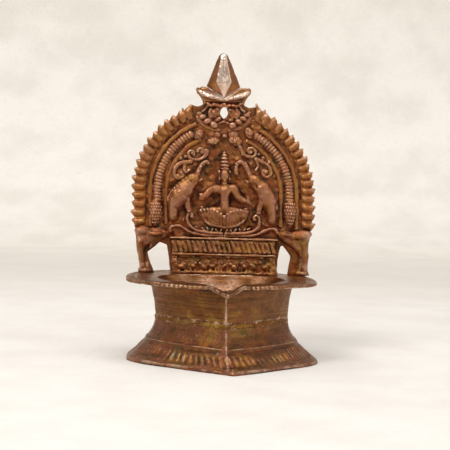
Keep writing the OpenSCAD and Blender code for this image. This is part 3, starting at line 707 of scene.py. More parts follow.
def make_braze():
    rings = []
    for t in np.linspace(0, 1, 13):
        z = SEAM_HIGH + (SEAM_LOW - SEAM_HIGH) * t
        wall = drum_r(z) if z > WAIST_Z else stand_r(z)
        rings.append(ring(wall + 0.32 * np.sin(np.pi * t) - 0.06, z, DRUM_P))
    rings.append(ring(WAIST_R - 0.8, WAIST_Z - 0.3, DRUM_P))
    rings.append(ring(WAIST_R - 0.8, WAIST_Z + 0.3, DRUM_P))
    rings = np.array(rings)
    x, y, z = np.moveaxis(rings, 2, 0)
    pits = step_up(ripples(x, y, z, 0.9, 31), 0.25, 0.9) * step_up(ripples(x, y, z, 6, 33), -0.4, 0.5)
    dent = 0.10 * ripples(x, y, z, 0.8, 34) + 0.16 * ripples(x, y, z, 2.6, 32) - 0.42 * pits
    dent[13:] = 0
    gilt = step_up(-np.abs(x + 4), -20, -6) * (y < MID_Y) * step_up(ripples(x, y, z, 4, 35), -0.6, 0.6)
    leaf_piece("waist_seam", rings, None, np.clip(dent, -0.5, 0.4), "waist_braze", "braze",
               m_braze, 0.2, None, gilt * np.ones(z.shape))


def dish_z(s):
    return RIM_Z - HOLLOW_D * (1 - s ** 2.6)


def hollow_ring(s):
    channel = LIP_FRONT + SPOUT_LEN - LIP_T - HOLLOW_FRONT
    return ring(HOLLOW_R * s, dish_z(s), 1.8, HOLLOW_BACK * s, HOLLOW_FRONT * s,
                SPOUT_R * 0.8 * s, channel * s ** 7.6, SPOUT_DIP * s ** 20)


def rim_ring(inset, z):
    return ring(BODY_R - inset, z, 2.0, BACK - inset, LIP_FRONT - inset,
                SPOUT_R, SPOUT_LEN, SPOUT_DIP)


def make_bowl():
    dish = [hollow_ring(s) for s in 1 - (1 - np.linspace(0.02, 1, 42)) ** 1.25]
    top = blend_rings(dish[-1], rim_ring(0.4, RIM_Z), 32)
    edge = [rim_ring(i, RIM_Z - d) for i, d in
            ((0.16, 0.08), (0.04, 0.22), (0, 0.42), (0, 0.7), (0, 0.98), (0.08, 1.2), (0.25, 1.34))]
    under = blend_rings(rim_ring(0.5, UNDER_Z), ring(drum_r(UNDER_Z), UNDER_Z, DRUM_P), 10)
    drum = [ring(drum_r(z), z, DRUM_P) for z in np.linspace(UNDER_Z, SEAM_HIGH, 30)[1:]]
    foot = [ring(WAIST_R, WAIST_Z, DRUM_P), ring(WAIST_R - WALL, WAIST_Z, DRUM_P)]
    inside = [ring(drum_r(z) - WALL, z, DRUM_P) for z in (SEAM_HIGH, 19, 21.5, dish_z(0.82) - WALL)]
    belly = [ring(HOLLOW_R * s, dish_z(s) - WALL, 1.8, HOLLOW_BACK * s, HOLLOW_FRONT * s)
             for s in (0.82, 0.74, 0.66, 0.56, 0.46, 0.36, 0.26, 0.16)]
    groups = [dish, top, edge, [rim_ring(0.5, UNDER_Z)], under, drum, foot, inside, belly]
    kind = np.concatenate([np.full(len(g), i) for i, g in enumerate(groups)])
    rings = np.array([r for g in groups for r in g])
    x, y, z = np.moveaxis(rings, 2, 0)
    s = ALONG[None, :]
    on_top, on_edge = (kind == 1)[:, None], (kind == 2)[:, None]
    in_dish, on_drum = (kind == 0)[:, None], (kind == 5)[:, None]
    flange = ((kind >= 1) & (kind <= 4))[:, None]
    border = rings[np.where(kind == 2)[0][0]][None]
    gap = np.linalg.norm(rings - border, axis=2)
    # The spout's lips are pinched up, and the rim runs a little out of true.
    lips = np.exp(-((np.abs(x) - 6.2) / 2.2) ** 2) * step_up(-y, 20, 27) * np.exp(-(gap / 2.4) ** 2)
    rings[:, :, 2] += flange * (0.95 * lips + 0.22 * ripples(x, y, 0 * z, 16, 40)
                                * step_up(np.hypot(x, y - MID_Y), 22, 30))
    ears = step_up(np.abs(x), 14, 19) * step_up(y, -22, -14)
    fade = np.clip(0.65 + 0.5 * ripples(x, y, z, 9, 41), 0.2, 1)
    cord = np.exp(-((gap - 1.5) / 0.35) ** 2) * (0.6 + 0.4 * np.cos(s * 2 * np.pi / 1.2))
    line = np.exp(-((gap - 3.8) / 0.3) ** 2)
    dots = np.exp(-((gap - 2.7) / 0.5) ** 2) * step_up(np.cos(s * 2 * np.pi / 1.9), 0.0, 0.9)
    dent = on_top * ears * fade * (0.30 * cord - 0.42 * dots + 0.24 * line)
    # Strokes filed across the rim's edge.
    nick = step_up(np.cos(s * 2 * np.pi / 2.0 + 0.8 * ripples(x, y, z, 6, 42)), 0.2, 0.95)
    near = np.exp(-(gap / 1.1) ** 2)
    strong = np.clip(0.5 + 0.7 * ripples(x, y, 0 * z, 8, 43), 0.1, 1)
    dent = dent - (on_top | on_edge) * near * nick * 0.42 * strong
    swell = 0.16 * ripples(x, y, z, 10, 44) + 0.04 * ripples(x, y, z, 2, 45)
    dent = dent + swell * (in_dish | on_drum) + on_top * (0.10 * ripples(x, y, z, 6, 46) - 0.02)
    dent = dent - on_edge * 0.06 * (1 + ripples(x, y, z, 5, 47))
    dent = dent + on_drum * 0.10 * ripples(x, y, z * 1.5, 1.3, 48) * step_up(-z, -19, -17.2)
    dent = np.where(on_top, np.minimum(dent, 0) + np.maximum(dent, 0) * step_up(gap, 0.5, 1.2), dent)
    wear_and_highlight = keel(rings, 0.5, SEAM_HIGH, UNDER_Z) * on_drum * 0.4
    rubbed_and_highlit = np.clip(0.35 + 0.8 * ripples(x, y, z, 5, 49), 0, 1)
    wear_and_highlight = np.maximum(wear_and_highlight, on_edge * 0.55 * rubbed_and_highlit * (1 - 0.8 * nick)
                      * step_up(z, UNDER_Z + 0.3, UNDER_Z + 0.8))
    wear_and_highlight = np.maximum(wear_and_highlight, on_top * 0.4 * rubbed_and_highlit * np.exp(-gap / 1.3))
    # The spout's lips are painted bright: rubbed metal and a painted highlight on their tops.
    wear_and_highlight = np.maximum(wear_and_highlight, flange * 0.9 * lips * step_up(z, RIM_Z - 0.6, RIM_Z + 0.2))
    # The back of the dish's floor is painted bright: a painted highlight where the light falls, over
    # brushed metal.
    floor = in_dish * step_up(y, -6, 8) * step_up(HOLLOW_R * 0.85 - np.abs(x), 0, 12)
    wear_and_highlight = np.maximum(wear_and_highlight, 0.7 * floor * np.clip(0.6 + 0.5 * ripples(x, y, z, 7, 50), 0, 1))
    gilt = on_drum * step_up(-z, -24, -18) * step_up(-np.abs(x), -22, -8) * (y < MID_Y) * 0.6
    gilt = gilt * step_up(ripples(x, y, z, 6, 51), -0.6, 0.8)
    caps = [(0, MID_Y, RIM_Z - HOLLOW_D), (0, MID_Y, RIM_Z - HOLLOW_D - WALL)]
    leaf_piece("oil_bowl", rings, caps, dent, "bowl", "cast_body", m_bowl, 0.13, wear_and_highlight, gilt)


def make_rivets():
    """Hammered dome heads under the rim, with their shanks."""
    low, high = cad("leg_rivets")
    cx = high[0] - 2.0
    nudge = {-1: -2.0, 1: 1.6}             # each leg's foot stands off its place in CAD
    cy = (low[1] + high[1]) / 2
    profile = [(0.05, 0.0), (0.7, 0.03), (1.25, 0.14), (1.65, 0.36), (1.88, 0.62), (1.95, 0.86),
               (1.9, 0.9), (1.1, 0.9), (1.1, 3.0), (1.1, 6.4), (0.8, 6.7), (0.05, 6.7)]
    n = 64
    a = np.arange(n) * 2 * np.pi / n
    co, quads = [], []
    for side, seed in ((-1, 61), (1, 62)):
        base = len(co) * n
        for r, h in profile:
            x = side * cx + OFFSET + nudge[side] + r * np.cos(a)
            y = cy + r * np.sin(a)
            z = np.full(n, low[2] + h)
            knock = 0.07 * ripples(x, y, z, 1.6, seed) * (h < 0.6)
            co.append(np.stack([x, y, z + np.maximum(knock, 0)], 1))
        i = np.arange(n)
        j = (i + 1) % n
        for k in range(len(profile) - 1):
            p, q = base + k * n, base + (k + 1) * n
            quads.append(np.stack([p + i, p + j, q + j, q + i], 1)[:, ::-1])
    co = np.concatenate(co)
    quads = np.concatenate(quads)[:, ::-1]
    # Fans close both ends.
    ends = []
    m = len(profile)
    for b in (0, 1):
        first, last = b * m * n, (b * m + m - 1) * n
        for at, up in ((first, False), (last, True)):
            c = len(co)
            co = np.concatenate([co, co[at:at + n].mean(0, keepdims=True)])
            i = np.arange(0, n, 2)
            fan = np.stack([np.full_like(i, c), at + i, at + i + 1, at + (i + 2) % n], 1)
            ends.append(fan if up else fan[:, ::-1])
    quads = np.concatenate([quads] + ends)
    mesh_piece("leg_fastenings", co, quads, "leg_rivets", "rivet_metal", m_rivet,
               cavity(co, quads, 4, 0.1), None)


# ---------------------------------------------------------------- the plate

def arc_gap(x, z, r):
    """Distance from the line that runs over the arch at radius r and straight down its sides."""
    dz = np.maximum(z - ARCH_Z, 0)
    return np.abs(np.hypot(x, dz) - r)


def arc_angle(x, z):
    """Degrees from the top of the arch, then on past 90 by distance down its sides."""
    return np.degrees(np.arctan2(np.abs(x), np.maximum(z - ARCH_Z, 0)))


def plate_edge():
    """Right half of the plate's outline from its neck to the rays' lower end."""
    arch = [(ARCH_R * np.sin(a), ARCH_Z + ARCH_R * np.cos(a))
            for a in np.radians(np.linspace(24, 90, 30))]
    neck = [(7.6, NECK_Z + 0.4), (7.7, NECK_Z - 0.6), (8.3, NECK_Z - 1.5), (10, NECK_Z - 2.2),
            (12.3, NECK_Z - 1.6), (12.9, NECK_Z - 3.0)]
    return neck + arch + [(ARCH_R, SIDE_Z)]


def make_plate():
    clay = Clay((-37, RIM_Z - 1, -PLATE_T - 1), (37, NECK_Z + 1.5, 3.6), 0.34)
    right = plate_edge()
    body = right + [(22.9, SIDE_Z - 0.5), (22.8, SIDE_Z - 3), (21.2, RIM_Z + 5),
                    (20.6, RIM_Z + 0.02)]
    clay.outline(body + flip(body)[::-1], -PLATE_T, 0, 0.55)
    # Each leg is a flat web with a raised shin in front of it; the two are not a pair.
    edges = ([(-33.9, 12), (-33.9, 9.2), (-33.4, 5.8), (-32.6, 2.1), (-32.8, 0)],
             [(33.4, 13.5), (33, 10.4), (33.5, 7.6), (32.8, 3.1), (33.9, 0)])
    webs = ([(-27.2, 0), (-27.4, 0.8), (-29.0, 4.9), (-29.6, 8), (-24.8, 11.8), (-22.4, 11.0),
             (-20.6, 18.2)],
            [(25.2, 0), (25.4, 1.7), (26.3, 7.6), (23.4, 11.8), (20.8, 11.2), (20.6, 18.2)])
    shins = ([(-29.5, 0), (-30.9, 2.5), (-31.6, 5.8), (-31.3, 9.5), (-28.5, 11.3), (-24.5, 13.1),
              (-22, 14.1), (-22, 17.7)],
             [(27.5, 0), (29.2, 3.7), (29.7, 8.4), (26.6, 11.7), (21.7, 14.9), (21.7, 17.7)])
    for m, edge, web, shin in zip((-1, 1), edges, webs, shins):
        web = [(x, z + RIM_Z) for x, z in [(m * 34.4, 18.2)] + edge + web]
        shin = [(x, z + RIM_Z) for x, z in [(m * 34.6, 17.9)] + edge + shin]
        clay.outline(web, -PLATE_T, 0.0, 0.5)
        clay.outline(rounded(shin, 1, True), -0.6, 1.9, 1.1, 0.4)
    folds = (((-33.4, 16.6), (-29.5, 15.6), (-24.2, 15.3)),
             ((-32.7, 12.6), (-32.4, 8.0), (-31.7, 2.6)),
             ((33.2, 16.6), (29.6, 15.2), (24.0, 16.2)),
             ((31.6, 12.2), (31.6, 8.0), (31.3, 2.8)))
    for line in folds:
        clay.stroke([(x, z + RIM_Z, 1.75) for x, z in line], 0.95, 0.7, 0.7)
    for m, x in ((-1, -31.0), (1, 30.8)):
        clay.blob((x, RIM_Z + 0.9, 0.7), (2.4, 1.0, 1.9), 0.6)
        clay.blob((m * 31.8, RIM_Z + 17.0, 0.9), (2.9, 1.3, 1.5), 0.8, -12 * m)
        ribbon = [(m * x, THRONE_Z + z, 1.0) for x, z in
                  ((20.9, 2.2), (22.6, 0.3), (25.2, -1.3), (27.6, -2.9), (28.8, -4.6))]
        clay.stroke(ribbon, 0.7, 0.42, 0.4)
    slot(clay)
    clay.wobble(0.12, 5.0, 81)
    clay.wobble(0.06, 1.5, 82)
    # Behind the figures the ground was never dressed and stayed lumpy.
    _, x, z, u = clay.everywhere()
    ground = step_up(-np.hypot(x, np.maximum(z - ARCH_Z, 0)), -32, -29)
    ground = ground * step_up(z, THRONE_Z - 2, THRONE_Z + 1)
    ground = ground * step_up(u, -1.2, -0.6) * step_up(NECK_Z - z, 1, 4)
    lumps = 0.36 * ripples(x, z, u, 2.2, 85) + 0.20 * ripples(x, z, u, 1.1, 86)
    clay.f = clay.f - ground * lumps
    clay.f = np.maximum(clay.f, RIM_Z - 0.02 - z)

    def rubbed_and_highlit(co):
        x, z, u = co.T
        shin = step_up(np.abs(x), 22, 25) * step_up(SIDE_Z + 0.5 - z, 0, 2) * step_up(u, 0.9, 1.8)
        edge = step_up(np.abs(x), 29.5, 33) * step_up(u, 0.2, 0.9)
        return shin * (0.3 + 0.5 * edge) * np.clip(0.5 + 0.6 * ripples(x, z, u, 3, 83), 0, 1)

    def gilt(co):
        x, z, u = co.T
        shin = step_up(np.abs(x), 24, 27) * step_up(SIDE_Z - z, 0, 2) * step_up(u, 0.6, 1.4)
        return 0.5 * shin * step_up(ripples(x, z, u, 4, 84), -0.2, 0.8)

    cast("back_plate_body", clay, "back_plate", "cast_plate", m_plate, 0.24, rubbed_and_highlit, gilt)


def slot(clay):
    """The keyhole under the neck, pierced through."""
    where, x, z, u = clay.everywhere()
    h = NECK_Z - z
    wide = np.interp(h, [2.1, 2.6, 4.6, 5.8, 6.8], [0.2, 1.0, 1.6, 1.25, 0.2])
    gap = np.abs(x - 0.2) - wide
    gap = np.maximum(gap, np.abs(h - 4.45) - 2.35)
    clay.f[where] = -soft_min(-clay.f[where], gap + 0 * u, 0.15)


def make_rays(side):
    left = side < 0
    clay = Clay((9, SIDE_Z - 0.6, -1.4), (38.4, ARCH_Z + 38, 2.4), 0.2)
    seed = 91 if left else 93
    rng = np.random.default_rng(seed)
    first, count, drop = 21.5, 13, 4
    pitch = (90 - first) / count

    def bar(inner, outer, upward):
        """One ray: a rounded ridge drawn out to a point that hooks upwards."""
        inner, outer, upward = (np.array(v, float) for v in (inner, outer, upward))
        out = (outer - inner) / np.linalg.norm(outer - inner)
        clay.rod(inner, outer - out * 0.3, 1.4, 1.42 + rng.uniform(-0.06, 0.05), 0.16, 0.95)
        hook, blunt = (0.45, 0.75) if left else (0.75, 0.42)
        tip = outer + out * (1.65 - blunt + rng.uniform(-0.15, 0.1)) + upward * hook
        clay.rod(outer - out * 0.6 + upward * 0.15, tip, 1.25, blunt, 0.3, 0.95)
        lift = np.array((0, 0, 0.75))
        clay.rod(inner + lift + upward * 0.3, outer + upward * 0.5 + lift, 0.5, 0.6, 0.5)

    for i in range(count):
        a = np.radians(first + (i + 0.5) * pitch)
        d = np.array([np.sin(a), np.cos(a), 0])
        centre = np.array([0, ARCH_Z, 0])
        end = 34.45 + rng.uniform(-0.3, 0.15)
        bar(centre + d * 31.9 + (0, 0, 0.1), centre + d * end, (-np.cos(a), np.sin(a), 0))
    step = (ARCH_Z - SIDE_Z - 0.4) / drop
    for i in range(drop):
        z = ARCH_Z - (i + 0.5) * step
        end = 34.4 + rng.uniform(-0.3, 0.15)
        bar((31.9, z, 0.1), (end, z + rng.uniform(-0.2, 0.2), 0), (0, 1, 0))
    # The grooves between rays are shallow.
    where, x, z, u = clay.everywhere()
    dz = np.maximum(z - ARCH_Z, 0)
    gap = np.abs(np.hypot(x, dz) - 32.6) - 2.1
    gap = np.maximum(gap, np.radians(first) * 32 - np.radians(arc_angle(x, z)) * 32)
    gap = np.maximum(np.maximum(gap, u - 0.55), SIDE_Z + 0.3 - z)
    clay.f[where] = soft_min(clay.f[where], gap, 0.4)
    # Small leaves where the rays meet the neck.
    if left:
        clay.rod((14.2, NECK_Z - 4.6, 0.2), (12.7, NECK_Z - 2.1, 0.1), 1.2, 0.8, 0.3)
    else:
        clay.rod((13.6, NECK_Z - 5.0, 0.2), (12.7, NECK_Z - 0.6, 0.1), 1.3, 0.4, 0.3)
    clay.rod((15.4, NECK_Z - 6.4, 0.2), (16.0, NECK_Z - 3.2, 0.1), 1.1, 0.5, 0.3)
    clay.wobble(0.10, 2.4, seed)
    clay.wobble(0.05, 0.9, seed + 1)
    _, x, z, u = clay.everywhere()
    clay.f = np.maximum(clay.f, -1.0 - u)
    if left:
        clay.low[0] = -(clay.low[0] + clay.step * (clay.f.shape[0] - 1))
        clay.f = clay.f[::-1].copy()

    def rubbed_and_highlit(co):
        x, z, u = co.T
        dz = np.maximum(z - ARCH_Z, 0)
        r = np.hypot(x, dz)
        beat = np.where(z > ARCH_Z, (arc_angle(x, z) - first) / pitch, (ARCH_Z - z) / step)
        # The upper side of each ray and its hooked tip are painted bright: a painted highlight where
        # the light from above falls, over rubbed metal.
        upper = step_up(np.cos(2 * np.pi * (beat - 0.28)), -0.1, 0.8)
        tip = step_up(r, 33.6, 35.2) * upper
        ridge = 0.35 * step_up(u, 1.1, 1.5) * upper
        return np.maximum(tip, ridge) * np.clip(0.7 + 0.5 * ripples(x, z, u, 2.5, 95), 0, 1)

    label = SIDES[side]
    cast("ray_band_" + label, clay, "rays_" + label, "cast_plate", m_rays, 0.2, rubbed_and_highlit)


def arch_tube(clay, r, thick, first, last_z, flat, ribs=0.0, rib_depth=0.0):
    """Bar over one side of the arch at radius r, from `first` degrees off the top down to last_z."""
    where, x, z, u = clay.everywhere()
    a = arc_angle(x, z)
    along = np.where(z > ARCH_Z, np.radians(a) * r, np.pi / 2 * r + ARCH_Z - z)
    size = thick
    if ribs:
        size = thick - rib_depth * step_up(np.cos(2 * np.pi * along / ribs), 0.1, 1.0)
    f = np.hypot(arc_gap(x, z, r), u / flat) - size
    start = np.radians(first) * r
    end = np.pi / 2 * r + ARCH_Z - last_z
    f = np.maximum(f, np.maximum(start - along, along - end) * 0.9)
    clay.f[where] = soft_min(clay.f[where], np.minimum(f, FAR), 0.15)


def make_mouldings():
    for name, node, r, first, down in (("outer_moulding_line", "outer_moulding", 28.6, 22, 13.6),
                                       ("inner_moulding_line", "inner_moulding", 22.4, 23, 12.6)):
        clay = Clay((-30.5, ARCH_Z - 14.5, -0.4), (30.5, ARCH_Z + 30.5, 1.4), 0.21)
        arch_tube(clay, r, 0.9, first, ARCH_Z - down, 0.85)
        clay.seat((0.14, 2.4, int(r)), (0.06, 0.9, int(r) + 1))
        cast(name, clay, node, "cast_plate", m_rays, 0.2)


def make_garland(side):
    label = SIDES[side]
    low, high = (10.5, ARCH_Z - 4.2), (28.5, ARCH_Z + 25.5)
    if side < 0:
        low, high = (-high[0], low[1]), (-low[0], high[1])
    clay = Clay((*low, -0.4), (*high, 2.3), 0.16)
    arch_tube(clay, 25.8, 1.75, 27.5, ARCH_Z - 3.5, 0.85, 1.27, 0.30)
    clay.seat((0.07, 1.6, 101 + side))
    cast("ribbed_garland_" + label, clay, "garland_" + label, "relief", m_relief)
    x0, top, low_z = (-26.6, ARCH_Z - 3.1, ARCH_Z - 13.5) if side < 0 else (
        25.9, ARCH_Z - 1.9, ARCH_Z - 12.7)
    clay = Clay((x0 - 3.2, low_z - 1, -0.4), (x0 + 3.2, top + 1, 3.4), 0.14)
    shape = ((0, 0.9), (0.07, 1.55), (0.16, 2.1), (0.28, 2.38), (0.42, 2.45), (0.55, 2.4),
             (0.68, 2.1), (0.8, 1.7), (0.9, 1.2), (1, 0.6))
    for (t0, r0), (t1, r1) in zip(shape, shape[1:]):
        z0, z1 = (top - 0.6 + (low_z + 0.9 - top) * t for t in (t0, t1))
        clay.rod((x0, z0, 0.1), (x0, z1, 0.1), r0, r1, 0.3, 1.0)
    rows = 7
    for i in range(rows):
        z = top - 1.7 - i * (top - low_z - 3.2) / (rows - 1)
        wide = np.interp((top - z) / (top - low_z), [t for t, _ in shape], [r for _, r in shape])
        shift = 0.16 * wide * (i % 2)
        for j in range(-2, 3):
            px = x0 + j * wide * 0.40 + shift
            pu = 0.2 + 0.98 * np.sqrt(max(wide ** 2 - (px - x0) ** 2, 0.05))
            clay.blob((px, z, pu), (wide * 0.17, 0.5, 0.32), 0.2, 12 * side)
        clay.stroke([(x0 - wide, z - 0.72, 0.4), (x0, z - 0.78, 1.1 * wide),
                     (x0 + wide, z - 0.72, 0.4)], 0.14, k=0.18, cut=True, times=2)
    clay.seat((0.06, 1.4, 103 + side))
    cast("bud_tassel_" + label, clay, "tassel_" + label, "relief", m_relief)


# ---------------------------------------------------------------- figures

def field_clay(low, high, top_u, step):
    return Clay((low[0], FIELD_Z + low[1], -0.5), (high[0], FIELD_Z + high[1], top_u), step)


def up(points):
    """Heights above the field's line to heights above the base."""
    return [(p[0], FIELD_Z + p[1], *p[2:]) for p in points]


def make_scroll(side):
    label = SIDES[side]
    if side < 0:
        low, high = (-21.2, 21.6), (-4.6, 36.6)
        strands = [
            ([(-6.5, 34.6), (-6.7, 33.4), (-7.3, 32.0), (-9.9, 30.6), (-12.6, 30.8), (-13.9, 32.5),
              (-13.4, 34.3), (-11.5, 33.9), (-11.6, 32.6)], 0.72, 0.5),
            ([(-10.3, 34.1), (-9.2, 35.3), (-7.6, 34.9), (-8.4, 33.5)], 0.55, 0.45),
            ([(-12.7, 29.8), (-16.8, 29.5), (-19.1, 27.3), (-19.4, 24.6), (-17.7, 23.2),
              (-15.6, 24.2), (-16.6, 25.6)], 0.78, 0.52),
            ([(-14.9, 29.2), (-15.5, 26.9), (-14.6, 25.5), (-13.4, 26.6)], 0.55, 0.45)]
        balls = [(-17.7, 24.3, 1.0), (-12.2, 33.4, 0.8), (-8.6, 33.8, 0.6), (-16.8, 31.3, 0.8),
                 (-14.9, 31.9, 0.6), (-18.7, 30.0, 0.6)]
    else:
        low, high = (4.6, 21.6), (21.2, 37.4)
        strands = [
            ([(6.2, 36.4), (6.8, 34.8), (8.5, 32.6), (11.2, 32.2), (12.6, 34.0), (11.6, 35.9),
              (9.9, 35.9), (9.4, 34.4), (10.5, 33.9)], 0.72, 0.5),
            ([(12.5, 31.6), (15.0, 30.8), (18.1, 28.7), (18.5, 25.8), (16.8, 24.4), (15.0, 25.7),
              (15.6, 27.6), (16.8, 27.0)], 0.76, 0.5),
            ([(13.0, 30.9), (13.4, 28.6), (12.4, 27.2)], 0.5, 0.42)]
        balls = [(10.6, 34.2, 0.8), (16.5, 26.5, 0.9), (15.4, 32.2, 0.8), (17.6, 30.6, 0.7),
                 (13.6, 33.4, 0.6), (7.2, 33.2, 0.6)]
    clay = field_clay(low, high, 1.9, 0.15)
    for points, r0, r1 in strands:
        clay.stroke(up([(x, z, 0.3) for x, z in points]), r0 * 1.12, r1 * 1.15, 0.2, 1.0)
    for x, z, r in balls:
        clay.blob((x, FIELD_Z + z, 0.3), (r, r, r * 1.05), 0.2)
    clay.seat((0.13, 1.5, 111 + side))
    cast("leaf_scroll_" + label, clay, "scroll_" + label, "relief", m_relief)


def make_elephant(side):
    """Rearing elephant with its trunk raised over the goddess; the two differ."""
    label = SIDES[side]
    m = side
    if side < 0:
        trunk = [(10.9, 24.0, 1.4), (10.0, 25.6, 1.1), (9.2, 27.8, 0.8), (8.1, 29.5, 0.8),
                 (6.8, 30.2, 0.8), (6.0, 29.3, 0.7)]
        trunk_r = 1.15, 0.6
        spine = [(21.9, 14.6), (21.4, 16.4), (20.5, 18.1), (19, 19.8), (16.8, 21.8), (14.2, 23.9),
                 (11.9, 25.0)]
        bulk = [((18.7, 14.0), 3.3), ((17.0, 16.4), 3.6), ((15.2, 18.8), 3.5), ((12.5, 22.1), 2.7)]
        hind = [(19.5, 12.4, 0.9), (19.9, 9.8, 0.9), (19.8, 7.9, 0.8)]
        fore = [(14.6, 17.4, 1.3), (14.2, 14.4, 1.0), (14.0, 12.4, 0.9), (13.5, 11.2, 0.8)]
        near = [(16.6, 14.2, 0.6), (17.2, 11.6, 0.5)]
        ear, eye = (13.9, 21.3), (11.1, 24.1)
    else:
        trunk = [(10.9, 24.0, 1.4), (9.6, 26.0, 1.1), (8.9, 28.7, 0.8), (7.4, 30.4, 0.8),
                 (5.5, 30.1, 0.8), (4.6, 27.9, 0.8), (5.0, 25.4, 0.7)]
        trunk_r = 1.1, 0.65
        spine = [(20.8, 12.6), (20.7, 14.6), (19.5, 17.9), (17.6, 21.0), (15.3, 22.7), (12.4, 24.9)]
        bulk = [((17.9, 14.8), 3.2), ((16.6, 17.6), 3.4), ((15.0, 19.9), 3.2), ((12.6, 22.2), 2.6)]
        hind = [(18.6, 12.8, 0.9), (18.6, 10.2, 0.9), (18.8, 7.6, 0.8)]
        fore = [(15.0, 17.4, 1.3), (14.6, 14.6, 1.0), (13.9, 12.2, 0.9), (13.5, 11.2, 0.8)]
        near = [(16.4, 14.6, 0.6), (16.8, 12.2, 0.5)]
        ear, eye = (14.2, 21.4), (11.0, 24.0)

    def at(q, u=0.0):
        return np.array((m * q[0], FIELD_Z + q[1], q[2] if len(q) > 2 else u))

    low, high = (-23, 5.2), (-4.4, 32)
    if m > 0:
        low, high = (3.0, low[1]), (23, high[1])
    clay = field_clay(low, high, 3.6, 0.15)
    for (p, r0), (q, r1) in zip(bulk, bulk[1:]):
        clay.rod(at(p, 0.5), at(q, 0.6), r0, r1, 0.5, 0.85)
    clay.blob(at((11.9, 23.4), 1.3), (2.4, 2.1, 1.9), 0.6)
    clay.stroke([at(p) for p in trunk], *trunk_r, 0.25)
    p = rounded([at(q) for q in trunk], 2)
    for i in range(4, len(p) - 3, 2):
        # Rings round the trunk.
        d = p[i + 1] - p[i]
        across = np.array((-d[1], d[0], 0)) / max(np.hypot(d[0], d[1]), 1e-6)
        clay.rod(p[i] - across + (0, 0, 0.7), p[i] + across + (0, 0, 0.7), 0.13, k=0.12, cut=True)
    clay.rod(at(near[0]), at(near[1]), 1.3, 0.9, 0.4)
    clay.stroke([at(p) for p in fore], 1.35, 0.95, 0.3)
    clay.stroke([at(p) for p in hind], 1.9, 1.3, 0.4)
    for foot, r in ((hind[-1], 1.5), (fore[-1], 1.15)):
        clay.blob(at((foot[0], foot[1] - 0.5), 0.8), (r, 0.7, 1.2), 0.2)
    clay.blob(at(ear, 2.3), (1.25, 1.8, 0.6), 0.14, 34 * m)
    clay.stroke([at((ear[0] - 1.3, ear[1] + 1.3), 2.5), at((ear[0] - 1.5, ear[1] - 0.9), 2.5),
                 at((ear[0] - 0.2, ear[1] - 2.1), 2.4)], 0.2, k=0.15, cut=True)
    clay.blob(at(eye, 2.5), (0.26, 0.26, 0.2), 0.1)
    clay.stroke([at((10.7, 22.5), 1.5), at((9.4, 22.6), 1.5), at((8.6, 23.3), 1.3)], 0.4, 0.22, 0.15)
    # The ridge of the back, nicked.
    back = rounded([np.array(p) for p in spine], 3)
    clay.stroke([at(p, 0.7) for p in spine], 0.5, 0.42, 0.25)
    for q in back[2::4]:
        clay.blob(at(q, 1.0), (0.55, 0.55, 0.7), 0.18)
    clay.stroke([at((17.9, 19.6), 1.6), at((15.9, 17.7), 3.0), at((14.0, 16.6), 1.6)],
                0.16, k=0.12, cut=True)
    clay.stroke([at((20.6, 14.8), 1.4), at((18.6, 13.4), 2.9), at((16.9, 13.4), 1.8)],
                0.14, k=0.12, cut=True)
    clay.seat((0.12, 2.6, 121 + side), (0.06, 1.0, 123 + side))
    cast("elephant_figure_" + label, clay, "elephant_" + label, "relief", m_relief)


LOTUS_X = 0.1


def make_lotus():
    """Bowl-shaped flower seat: ribbed cup with a horn at each end and a notched upper edge."""
    clay = field_clay((-10.6, 3.4), (10.8, 14), 3.6, 0.14)
    n = 7
    for i in range(-n, n + 1):
        t = i / n
        x = LOTUS_X + 8.6 * t
        low = 5.4 + 3.7 * abs(t) ** 2.1
        high = np.interp(abs(t), [0, 0.15, 0.35, 0.7, 1], [9.0, 10.0, 11.0, 11.6, 11.0])
        clay.rod((x - 0.9 * t, FIELD_Z + low, 1.2 - 0.7 * t * t),
                 (x + 0.3 * t, FIELD_Z + high, 2.2 - 1.0 * t * t), 0.72, 0.82, 0.12, 1.0)
    for t in np.linspace(-0.85, 0.85, 8):
        clay.blob((LOTUS_X + 8.5 * t, FIELD_Z + 8.4 + 1.6 * t * t, 0.2),
                  (1.7, 3.0 - 1.0 * abs(t), 2.0 - 0.5 * abs(t)), 0.5)
    for m in (-1, 1):
        clay.stroke(up([(LOTUS_X + m * 6.2, 10.7, 0.9), (LOTUS_X + m * 8.1, 11.5, 0.8),
                        (LOTUS_X + m * 8.6, 12.4, 0.7)]), 0.9, 0.5, 0.3)
        clay.stroke(up([(LOTUS_X + m * 9.2, 10.2, 0.5), (LOTUS_X + m * 7.4, 7.0, 0.9),
                        (LOTUS_X + m * 4.2, 5.2, 1.2), (LOTUS_X, 4.7, 1.3)]), 0.5, 0.55, 0.25)
    clay.seat((0.08, 1.8, 131), (0.04, 0.8, 132))
    cast("lotus_throne", clay, "lotus_seat", "relief", m_relief)


